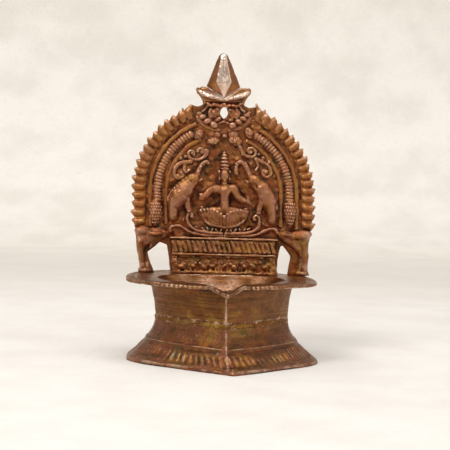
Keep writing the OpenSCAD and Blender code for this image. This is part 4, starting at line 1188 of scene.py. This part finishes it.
def make_goddess():
    clay = field_clay((-11.4, 9.0), (12, 35.6), 4.4, 0.14)
    c = 0.3

    def rod(a, b, ra, rb=None, k=0.25, flat=1.0, cut=False):
        clay.rod((a[0], FIELD_Z + a[1], a[2]), (b[0], FIELD_Z + b[1], b[2]), ra, rb, k, flat, cut)

    def blob(p, r, k=0.25, turn=0.0, cut=False):
        clay.blob((p[0], FIELD_Z + p[1], p[2]), r, k, turn, cut)

    def stroke(points, r0, r1=None, k=0.2, cut=False):
        clay.stroke(up(points), r0, r1, k, 1.0, 2, cut)

    # Tiered crown.
    for z, r in ((27.6, 2.1), (28.8, 1.95), (30.2, 1.7), (31.6, 1.4), (32.7, 1.0)):
        blob((c, z, 1.0), (r, 0.66, r * 0.9), 0.2)
    rod((c, 27, 0.9), (c, 32.6, 0.8), 1.5, 0.75)
    blob((c - 0.1, 33.6, 0.7), (0.6, 0.75, 0.6), 0.12)
    blob((c, 27.9, 2.6), (0.45, 0.55, 0.4), 0.15)
    # Head and a calm, plain face.
    blob((c, 24.9, 1.5), (1.8, 2.4, 1.6), 0.2)
    rod((c, 25.5, 2.95), (c, 24.6, 3.12), 0.17, 0.25, 0.2)
    for m in (-1, 1):
        blob((c + m * 0.64, 25.45, 2.82), (0.36, 0.16, 0.2), 0.12)
        stroke([(c + m * 0.28, 25.9, 2.95), (c + m * 0.66, 26.0, 2.88), (c + m * 1.08, 25.8, 2.62)],
               0.09, k=0.12)
        blob((c + m * 1.75, 24.9, 1.1), (0.35, 0.7, 0.5), 0.12)
        blob((c + m * 2.0, 26.4, 0.8), (0.65, 0.8, 0.7), 0.15)
        blob((c + m * 1.95, 23.6, 1.0), (0.5, 0.7, 0.6), 0.15)
    blob((c, 23.75, 2.86), (0.45, 0.14, 0.2), 0.1)
    blob((c, 23.1, 2.6), (0.52, 0.42, 0.42), 0.25)
    # Neck, shoulders, chest, waist and hips.
    rod((c, 22.6, 1.3), (c, 20.6, 1.3), 1.05)
    rod((-2.9, 19.4, 1.3), (3.9, 19.9, 1.3), 1.75, 1.65, 0.6)
    rod((c, 19.0, 1.7), (c, 16.2, 1.7), 2.5, 1.7, 0.6)
    for m in (-1, 1):
        blob((c + m * 1.05, 18.5, 2.4), (0.95, 0.9, 0.8), 0.25)
    rod((c, 16.6, 1.5), (c, 12.4, 1.7), 1.6, 1.9, 0.5)
    stroke([(c - 1.4, 20.7, 2.0), (c, 19.4, 2.8), (c + 1.4, 20.7, 2.0)], 0.17, k=0.12)
    stroke([(c - 1.4, 14.9, 2.4), (c, 14.5, 2.9), (c + 1.4, 14.9, 2.4)], 0.26, k=0.12)
    # Crossed legs under the robe, mostly sunk in the seat.
    stroke([(c + 0.6, 11.6, 1.3), (-3.0, 11.2, 1.3), (-5.2, 11.2, 1.0)], 1.5, 1.1, 0.5)
    stroke([(c - 0.6, 11.6, 1.3), (3.6, 11.2, 1.3), (5.8, 11.2, 1.0)], 1.5, 1.1, 0.5)
    # Front arms, with open hands.
    stroke([(-3.3, 19.7, 1.3), (-5.6, 19.0, 1.6), (-6.5, 17.6, 1.9), (-7.2, 16.8, 2.1)], 1.6, 1.25)
    blob((-8.2, 16.3, 2.0), (1.6, 1.6, 1.0), 0.3)
    for dx in (-0.6, -0.2, 0.2, 0.6):
        rod((-8.3 + dx, 16.5, 2.5), (-8.7 + dx * 1.2, 17.6, 2.3), 0.26, 0.2, 0.12)
    stroke([(3.8, 19.9, 1.3), (4.9, 17.8, 1.7), (6.2, 16.0, 1.9), (7.8, 15.3, 2.0)], 1.6, 1.3)
    blob((9.1, 15.0, 1.9), (1.6, 1.25, 1.0), 0.3, -20)
    for dz in (-0.5, -0.15, 0.2, 0.5):
        rod((9.6, 14.9 + dz, 2.2), (10.7, 14.5 + dz, 1.9), 0.24, 0.18, 0.12)
    for p in ((-6.1, 18.5, 2.2), (5.3, 17.1, 2.2)):
        blob(p, (0.95, 0.35, 0.75), 0.1, 40 if p[0] < 0 else -40)
    clay.seat((0.09, 1.8, 141))
    cast("seated_goddess", clay, "goddess", "relief", m_relief)


def make_vine(side):
    label = SIDES[side]
    if side < 0:
        low, high = (-22.6, 0.2), (0.6, 12)
        stem = [(-0.7, 2.2, 0.4), (-3.2, 2.2, 0.5), (-5.8, 2.5, 0.6), (-8.8, 2.8, 0.6),
                (-12.2, 3.9, 0.7), (-14.0, 6.1, 0.7), (-14.4, 8.4, 0.7), (-13.6, 10.0, 0.6),
                (-12.4, 9.9, 0.6), (-12.5, 8.7, 0.6)]
        hem = [(-20.9, 3.3, 0.6), (-20.4, 4.5, 0.6), (-18.3, 5.0, 0.7), (-16.1, 4.5, 0.7),
               (-13.6, 2.6, 0.6), (-9.7, 1.6, 0.5), (-6.2, 1.3, 0.4), (-0.4, 1.2, 0.4)]
        leaves = [(-8.1, 4.0, 60), (-6.3, 3.9, 20), (-4.5, 3.7, -20), (-2.8, 3.6, 35),
                  (-1.0, 3.6, -25), (-10.6, 4.6, 70), (-15.7, 7.2, -30)]
    else:
        low, high = (-0.6, 0.2), (22.6, 12)
        stem = [(0.7, 2.2, 0.4), (4.2, 2.3, 0.5), (7.6, 2.5, 0.6), (9.6, 2.8, 0.6), (12.0, 3.4, 0.7),
                (13.8, 5.2, 0.7), (14.1, 8.1, 0.7), (13.0, 9.8, 0.6), (11.7, 9.0, 0.6),
                (12.1, 8.0, 0.6)]
        hem = [(20.9, 3.2, 0.6), (20.3, 4.2, 0.6), (18.6, 4.6, 0.7), (16.3, 3.9, 0.7),
               (12.9, 2.0, 0.6), (9.4, 1.4, 0.4), (0.4, 1.2, 0.4)]
        leaves = [(9.8, 4.3, -60), (8.1, 4.0, -30), (6.3, 3.8, 20), (4.5, 3.7, -35),
                  (2.8, 3.6, 30), (1.1, 3.6, -20), (15.4, 6.6, 30), (12.8, 4.9, -50)]
    clay = field_clay(low, high, 2.4, 0.15)
    clay.stroke(up(stem), 0.70, 0.62, 0.2, 1.1)
    clay.blob((stem[-1][0], FIELD_Z + stem[-1][1], 0.6), (0.85, 0.85, 0.9), 0.2)
    clay.stroke(up(hem), 0.72, 0.5, 0.2, 1.1)
    for x, z, turn in leaves:
        clay.blob((x, FIELD_Z + z, 0.5), (0.42, 1.0, 0.7), 0.18, turn)
    clay.seat((0.08, 1.6, 151 + side))
    cast("vine_scroll_" + label, clay, "vine_" + label, "relief", m_relief)


# ---------------------------------------------------------------- throne

def make_throne():
    r = cad("throne_cornice")[1][0]

    def course(node, wide, tall, deep):
        """A course's lowest and highest z, and clay with room round it."""
        z0, z1 = cad(node)[0][2], cad(node)[1][2]
        low, high = (-r - wide, z0 - tall, -0.5), (r + wide, z1 + tall, deep)
        return z0, z1, Clay(low, high, 0.17)

    def gilt(co):
        x, z, u = co.T
        return step_up(x, -9, 6) * step_up(ripples(x, z, u, 4, 159), -0.2, 0.8) * 0.4

    def rubbed_and_highlit(co):
        x, z, u = co.T
        return step_up(u, 1.3, 2.1) * np.clip(0.6 + 0.7 * ripples(x, z, u, 4, 158), 0, 1) * 0.6

    z0, z1, clay = course("throne_cornice", 1.1, 0.6, 3.2)
    clay.slab((-r - 0.5, z0 + 0.25, -0.4), (r + 0.5, z1, 2.35), 0.4)
    clay.seat((0.16, 3.0, 161), (0.08, 1.1, 162))
    cast("throne_top_ledge", clay, "throne_cornice", "throne_metal", m_throne, 0.2, rubbed_and_highlit)

    z0, z1, clay = course("throne_band", 0.6, 0.6, 3.0)
    clay.slab((-r + 0.4, z0 + 0.02, -0.4), (r - 0.4, z1 - 0.02, 2.2), 0.36)
    clay.seat((0.14, 3.0, 163), (0.05, 1.1, 164))
    cast("throne_middle_ledge", clay, "throne_band", "throne_metal", m_throne, 0.2, None, gilt)

    z0, z1, clay = course("throne_petals", 0.4, 0.5, 3.0)
    clay.slab((-r + 0.7, z0 + 0.02, -0.4), (r - 0.7, z1 - 0.02, 1.35), 0.2)
    n = 21
    rng = np.random.default_rng(160)
    for i in range(n):
        # Soft folds that lean and lie close against each other.
        x = (i + 0.5 - n / 2) * (2 * r - 1.2) / n
        lean = 0.55 + rng.uniform(-0.12, 0.12)
        tall = rng.uniform(0.5, 1.1)
        clay.rod((x - lean, z1 - tall, 1.15), (x + lean, z0 + 0.9, 1.3), 0.78, 0.92, 0.06, 0.95)
    clay.slab((-r + 0.5, z1 - 0.4, -0.4), (r - 0.5, z1, 1.35), 0.2)
    clay.seat((0.14, 2.2, 165), (0.08, 0.9, 166))
    cast("throne_petal_course", clay, "throne_petals", "throne_metal", m_throne, 0.22, None, gilt)

    z0, z1, clay = course("throne_frieze", 0.4, 0.5, 3.2)
    clay.slab((-r + 0.5, z0 - 0.02, -0.4), (r - 0.5, z1 - 0.02, 0.8), 0.25)
    clay.slab((-r + 0.1, z0 - 0.02, -0.4), (r - 0.1, z0 + 1.2, 1.9), 0.4)
    clay.slab((-r + 0.5, z1 - 0.7, -0.4), (r - 0.5, z1, 1.5), 0.3)
    for m in (-1, 1):
        clay.slab((m * (r - 1.5) - 1.1, z0, -0.4), (m * (r - 1.5) + 1.1, z1, 1.8), 0.4)
    rng = np.random.default_rng(167)
    for i in range(-4, 5):
        # Small crouching beasts, worn almost to lumps.
        x = i * 3.95 + rng.uniform(-0.5, 0.5)
        m = -1 if rng.uniform() < 0.5 else 1
        big = rng.uniform(0.8, 1.1)
        y0 = z0 + (z1 - z0) * rng.uniform(0.36, 0.5)
        clay.blob((x, y0, 0.9), (1.5 * big, 1.15 * big, 1.3), 0.4, rng.uniform(-30, 30))
        clay.blob((x + m * 1.0, y0 + 1.1 * big, 1.1), (0.85 * big, 0.75, 0.95), 0.3,
                  rng.uniform(-20, 20))
        for hip, most in ((-0.8, 1.5), (0.7, 1.4)):
            paw = x + np.sign(hip) * m * rng.uniform(0.6, most)
            clay.rod((x + m * hip, y0, 1.0), (paw, z0 + 0.9, 1.1), 0.5, 0.42, 0.3)
        clay.stroke([(x - m * 1.3, y0 + 0.2, 0.8), (x - m * 1.9, y0 + 1.2, 0.8),
                     (x - m * rng.uniform(0.8, 1.6), y0 + 1.9, 0.8)], 0.32, 0.26, 0.2)
    clay.seat((0.26, 2.4, 168), (0.12, 1.0, 169))
    _, x, z, u = clay.everywhere()
    clay.f = np.maximum(clay.f, z0 - 0.02 - z)
    cast("throne_figure_course", clay, "throne_frieze", "throne_metal", m_throne, 0.24, None, gilt)


# ---------------------------------------------------------------- crest and finial

def make_crest():
    def at(x, h, u):
        return (x, NECK_Z + h, u)

    # Scrolled mask round the keyhole.
    clay = Clay((-9.5, NECK_Z - 10, -0.5), (9.5, NECK_Z + 0.9, 3.4), 0.14)
    for m in (-1, 1):
        clay.blob(at(m * 3.4, -4.4, 0.2), (1.9, 2.3, 1.1), 0.6, 10 * m)
        clay.stroke([at(m * 0.9, -2.2, 1.4), at(m * 2.9, -1.2, 1.6), at(m * 5.2, -1.9, 1.3),
                     at(m * 6.4, -0.9, 0.8)], 0.62, 0.5, 0.25)
        clay.blob(at(m * 2.5, -3.2, 1.7), (0.8, 0.6, 0.6), 0.15)
        clay.stroke([at(m * 4.9, -3.0, 0.8), at(m * 5.9, -4.7, 0.8), at(m * 5.0, -6.2, 0.8)],
                    0.62, 0.5, 0.25)
        clay.stroke([at(m * 6.4, -1.8, 0.5), at(m * 7.2, -3.2, 0.5), at(m * 8.2, -3.9, 0.4)],
                    0.5, 0.4, 0.25)
        clay.blob(at(m * 2.4, -7.0, 0.8), (1.4, 0.8, 1.1), 0.3, -20 * m)
    clay.blob(at(0, -1.2, 0.9), (1.0, 0.7, 1.0), 0.3)
    slot(clay)
    clay.seat((0.20, 1.6, 171), (0.12, 0.8, 172))
    cast("crest_mask_relief", clay, "crest_mask", "relief", m_relief)

    clay = Clay((-12, NECK_Z - 15.6, -0.5), (12, NECK_Z - 2.9, 3.4), 0.14)
    beads = ((-9.5, -4.9, 0.95), (-8.2, -6.1, 1.25), (-6.4, -7.8, 1.45), (-3.8, -9.2, 1.75),
             (3.4, -9.2, 1.75), (5.8, -7.8, 1.4), (7.5, -6.5, 1.25), (9.0, -5.1, 1.1),
             (9.9, -4.1, 0.65), (0.1, -7.9, 0.75), (0.3, -13.4, 1.1))
    for x, h, r in beads:
        # The outer beads are drawn out towards the keyhole.
        long = 1 + 0.5 * step_up(abs(x), 4.2, 5.6)
        turn = np.degrees(np.arctan2(-x, h + 4.6)) + 180
        clay.blob(at(x, h, 0.6), (r * 0.85 if long > 1 else r, r * 0.85 * long, r), 0.1, turn)
    for m in (-1, 1):
        clay.stroke([at(m * 10.2, -6.3, 0.0), at(m * 8.7, -8.6, 0.0), at(m * 5.6, -10.5, 0.0),
                     at(m * 2.0, -11.1, 0.0)], 0.85, 0.7, 0.4, 0.7)
        clay.rod(at(m * 0.4, -7.9, 0.5), at(m * 2.2, -8.6, 0.5), 0.5, 0.5, 0.2)
    clay.seat((0.07, 1.6, 173))

    def rubbed_and_highlit(co):
        x, z, u = co.T
        return 0.65 * step_up(u, 1.0, 1.9) * np.clip(0.7 + 0.5 * ripples(x, z, u, 2, 177), 0, 1)

    cast("crest_bead_strings", clay, "crest_beads", "relief", m_relief, 0.2, rubbed_and_highlit)

    clay = Clay((-13.5, NECK_Z - 18.4, -0.5), (13.5, NECK_Z - 8.4, 3.0), 0.14)
    for x, h, a, b, turn in ((-9.7, -13.1, 1.9, 2.3, -25), (-4.2, -15.4, 2.5, 1.7, 8),
                             (4.4, -15.2, 2.9, 1.9, -6), (9.8, -11.9, 1.8, 2.1, 25)):
        clay.blob(at(x, h, 0.4), (a, b, 1.7), 0.3, turn)
        for j in (-1.2, 0, 1.2):
            t = np.radians(turn)
            px, pz = x + j * 0.6 * np.cos(t), h + j * 0.6 * np.sin(t)
            dx, dz = -np.sin(t) * b * 0.8, np.cos(t) * b * 0.8
            clay.stroke([at(px + dx, pz + dz, 1.3), at(px, pz, 2.15), at(px - dx, pz - dz, 1.3)],
                        0.15, k=0.12, cut=True)
    clay.blob(at(3.6, -12.7, 0.4), (2.1, 1.4, 1.2), 0.25, 12)
    clay.blob(at(-2.6, -12.9, 0.3), (1.4, 1.0, 1.0), 0.25, -20)
    clay.seat((0.12, 1.8, 174), (0.07, 0.8, 175))
    cast("crest_leaf_lobes", clay, "crest_lobes", "relief", m_relief)


def make_finial():
    mid = -PLATE_T / 2
    base = NECK_Z
    clay = Clay((-12.4, base - 1.4, mid - 4), (12.4, base + 7, mid + 5.2), 0.17)
    cup = [(7.5, base - 0.5), (7.8, base + 0.5), (8.7, base + 2.0), (9.6, base + 3.2),
           (8.4, base + 5.0), (6.6, base + 5.4), (0, base + 1.5)]
    clay.outline(cup + flip(cup[:-1])[::-1], mid - 2.2, mid + 2.1, 0.8, 0.5)
    # The collar's two blades meet in a low V in front and end in rounded horns.
    for m in (-1, 1):
        blade = [(m * 0.9, base + 0.5, mid + 3.3), (m * 4.4, base + 1.5, mid + 3.0),
                 (m * 7.2, base + 2.2, mid + 2.2), (m * 9.6, base + 3.8, mid + 0.7)]
        clay.stroke(blade[:2], 0.4, 1.05, 0.3)
        clay.stroke(blade[1:], 1.05, 0.85, 0.3)
        back = [(x, z, 2 * mid - u) for x, z, u in blade]
        clay.stroke(back, 0.9, 0.9, 0.4)
        clay.rod((m * 9.5, base + 3.4, mid + 0.4), (m * 9.9, base + 4.4, mid - 0.4), 1.05, 0.95, 0.4)
        clay.stroke([(m * 7.2, base - 0.7, mid + 1.0), (m * 7.8, base + 0.9, mid + 1.4),
                     (m * 9.2, base + 2.8, mid + 0.8)], 0.7, 0.6, 0.4)
        clay.blob((m * 7.9, base + 4.5, mid + 0.9), (1.5, 0.95, 1.2), 0.4, 14 * m)
    clay.wobble(0.08, 3.0, 181)
    clay.wobble(0.04, 1.0, 182)

    # The lower front edges of the collar's blades are painted bright: a painted highlight where they
    # catch the light, on worn metal.
    def lip_wear_and_highlight(co):
        x, z, u = co.T
        low = base + 0.9 + 0.20 * np.abs(x) + 0.5 * step_up(np.abs(x), 7, 9.5)
        near = np.exp(-((z - low - 0.3) / 0.8) ** 2)
        return np.clip(near * step_up(u, mid + 1.2, mid + 2.4), 0, 1)

    cast("finial_leaf_collar", clay, "finial_collar", "worn_metal", m_finial, 0.2, lip_wear_and_highlight)

    # The bud: four worn faces that taper to a rounded tip, cut to a V below.
    clay = Clay((-8, base + 0.8, mid - 5.2), (8, TOP_Z + 0.8, mid + 5.2), 0.17)
    where, x, z, u = clay.everywhere()
    h = z - base
    tall = TOP_Z - 0.35 - base
    w = np.interp(h, [1.7, 5.4, 6.4, tall - 2.2, tall], [5.6, 6.2, 6.0, 2.15, 2.0])
    k = np.interp(h, [1.7, 2.5, 7.4, tall - 2.2, tall], [0.1, 0.2, 2.7, 1.0, 0.8])
    deep = np.interp(h, [0, 7.2, tall - 2.0, tall], [2.3, 3.6, 2.0, 1.4])
    depth = np.abs(u - mid)
    slope = (np.abs(x) - k) / (w - k) + (depth - 0.4) / (deep - 0.4) - 1
    side = slope / np.sqrt(1 / (w - k) ** 2 + 1 / (deep - 0.4) ** 2)
    f = -soft_min(-side, -(depth - deep), 0.2)
    under = (1.7 + 0.6 * np.abs(x) - h) / 1.17
    f = -soft_min(-f, -under, 0.3)
    dome = np.sqrt(x ** 2 + (depth / 0.9) ** 2 + ((h - tall + 2.1) / 1.0) ** 2) - 2.1
    f = np.where(h > tall - 2.1, np.maximum(f, dome), f)
    clay.f[where] = np.minimum(f, FAR)
    clay.wobble(0.09, 4.0, 183)
    clay.wobble(0.03, 1.0, 184)

    # The front facet of the bud is painted near white: a painted highlight on the face turned towards
    # the camera, over worn metal.
    def facet_wear_and_highlight(co):
        x, z, u = co.T
        h = z - base
        k = np.interp(h, [1.7, 2.5, 7.4, tall - 2.2, tall], [0.1, 0.3, 2.75, 1.0, 0.8])
        face = step_up(k + 0.15 - np.abs(x), -0.35, 0.35) * step_up(u, mid + 0.6, mid + 1.2)
        return np.clip(face * (0.85 + 0.3 * ripples(x, z, u, 3, 185)), 0, 1)

    cast("finial_bud_spike", clay, "finial_bud", "worn_metal", m_finial, 0.2, facet_wear_and_highlight)


# ---------------------------------------------------------------- room, light and camera

def plaster(name, near, far, top, blot):
    """Pale plaster, mottled and a little gritty: near the lamp, further back, and up the wall."""
    s = Shader(name)
    s.put(s.surface.inputs["Roughness"], 0.9)
    back = s.add("SeparateXYZ", Vector=s.coords).outputs["Y"]
    # The three tones by depth are painted light: floor near the lamp, floor further back and wall are
    # given different brightness to balance how the lamps light them.
    colour = s.mix(s.ramp(back, 0.15, 0.36), near, far)
    colour = s.mix(s.ramp(back, 0.36, 0.68), colour, top)
    colour = s.mix(s.ramp(s.noise(s.coords, 30, 5), 0.35, 0.7, 0.0, 0.35), colour, blot)
    colour = s.mix(s.ramp(s.noise(s.coords, 420, 4), 0.52, 0.72, 0.0, 0.16), colour, blot)
    s.put(s.surface.inputs["Base Color"], colour)
    s.bump(s.noise(s.coords, 350, 5), 0.5, 0.0006)
    return s.material


def make_room():
    """Floor and wall in one sheet, swept up in a curve behind the lamp."""
    turn = np.radians(np.linspace(0, 90, 19))
    bend, wall_y = 0.20, 0.72
    sweep = [(wall_y - bend + bend * np.sin(a), bend - bend * np.cos(a)) for a in turn]
    path = [(-2.0, 0.0)] + sweep + [(wall_y, 2.4)]
    co = [(x, y, z) for y, z in path for x in (-2.5, 2.5)]
    faces = [(2 * i, 2 * i + 1, 2 * i + 3, 2 * i + 2) for i in range(len(path) - 1)]
    me = bpy.data.meshes.new("backdrop")
    me.from_pydata(co, [], faces)
    me.polygons.foreach_set("use_smooth", [True] * len(faces))
    me.materials.append(plaster("plaster", (0.78, 0.76, 0.735), (0.70, 0.665, 0.63),
                                (0.90, 0.865, 0.82), (0.64, 0.60, 0.555)))
    ob = bpy.data.objects.new("backdrop", me)
    bpy.context.scene.collection.objects.link(ob)


def area_light(name, at, to, size, power, colour):
    data = bpy.data.lights.new(name, "AREA")
    data.shape = "RECTANGLE"
    data.size, data.size_y = size
    data.energy = power
    data.color = colour
    ob = bpy.data.objects.new(name, data)
    ob.location = at
    ob.rotation_euler = (Vector(to) - Vector(at)).to_track_quat("-Z", "Y").to_euler()
    bpy.context.scene.collection.objects.link(ob)


def make_light():
    """Soft overhead light and a bright patch of sky, over a dimmer room in front."""
    world = bpy.data.worlds.new("studio")
    world.use_nodes = True
    nt = world.node_tree
    coords = nt.nodes.new("ShaderNodeTexCoord")
    split = nt.nodes.new("ShaderNodeSeparateXYZ")
    nt.links.new(coords.outputs["Generated"], split.inputs[0])
    rise = nt.nodes.new("ShaderNodeMapRange")
    nt.links.new(split.outputs["Z"], rise.inputs["Value"])
    for key, v in (("From Min", -0.1), ("From Max", 0.9), ("To Min", 0.10), ("To Max", 1.08)):
        rise.inputs[key].default_value = v
    back = nt.nodes["Background"]
    back.inputs["Color"].default_value = (1.0, 0.97, 0.93, 1)
    nt.links.new(rise.outputs["Result"], back.inputs["Strength"])
    bpy.context.scene.world = world
    aim = (0, 0, 0.05)
    area_light("key", (-0.50, -0.55, 0.85), aim, (0.4, 0.4), 5.4, (1, 0.97, 0.93))
    area_light("top", (0.1, -0.15, 1.0), aim, (0.7, 0.5), 2.2, (1, 0.98, 0.95))
    area_light("fill", (0.9, -0.5, 0.35), aim, (0.35, 0.5), 1.4, (1, 0.96, 0.92))
    bpy.context.scene.view_settings.view_transform = "Standard"


def make_camera():
    """Slightly above the rim, a little left of the front, with the lamp rolled clockwise."""
    data = bpy.data.cameras.new("camera")
    data.sensor_width = 36
    data.lens = 131.84
    data.clip_start = 0.01
    ob = bpy.data.objects.new("camera", data)
    turn, down, roll = np.radians((-3.48, 3.685, 1.7))
    reach, height = 0.622, 0.0915
    side = np.radians(-3.5)
    at = Vector((np.sin(side) * reach, MID_Y * MM - np.cos(side) * reach, height))
    m = (Matrix.Rotation(turn, 4, "Z") @ Matrix.Rotation(np.pi / 2 - down, 4, "X")
         @ Matrix.Rotation(roll, 4, "Z"))
    ob.matrix_world = Matrix.Translation(at) @ m
    bpy.context.scene.collection.objects.link(ob)
    bpy.context.scene.camera = ob


make_stand()
make_bowl()
make_braze()
make_rivets()
make_plate()
make_mouldings()
make_lotus()
make_goddess()
make_throne()
make_crest()
make_finial()
for hand in (-1, 1):
    make_rays(hand)
    make_garland(hand)
    make_scroll(hand)
    make_elephant(hand)
    make_vine(hand)
make_room()
make_light()
make_camera()
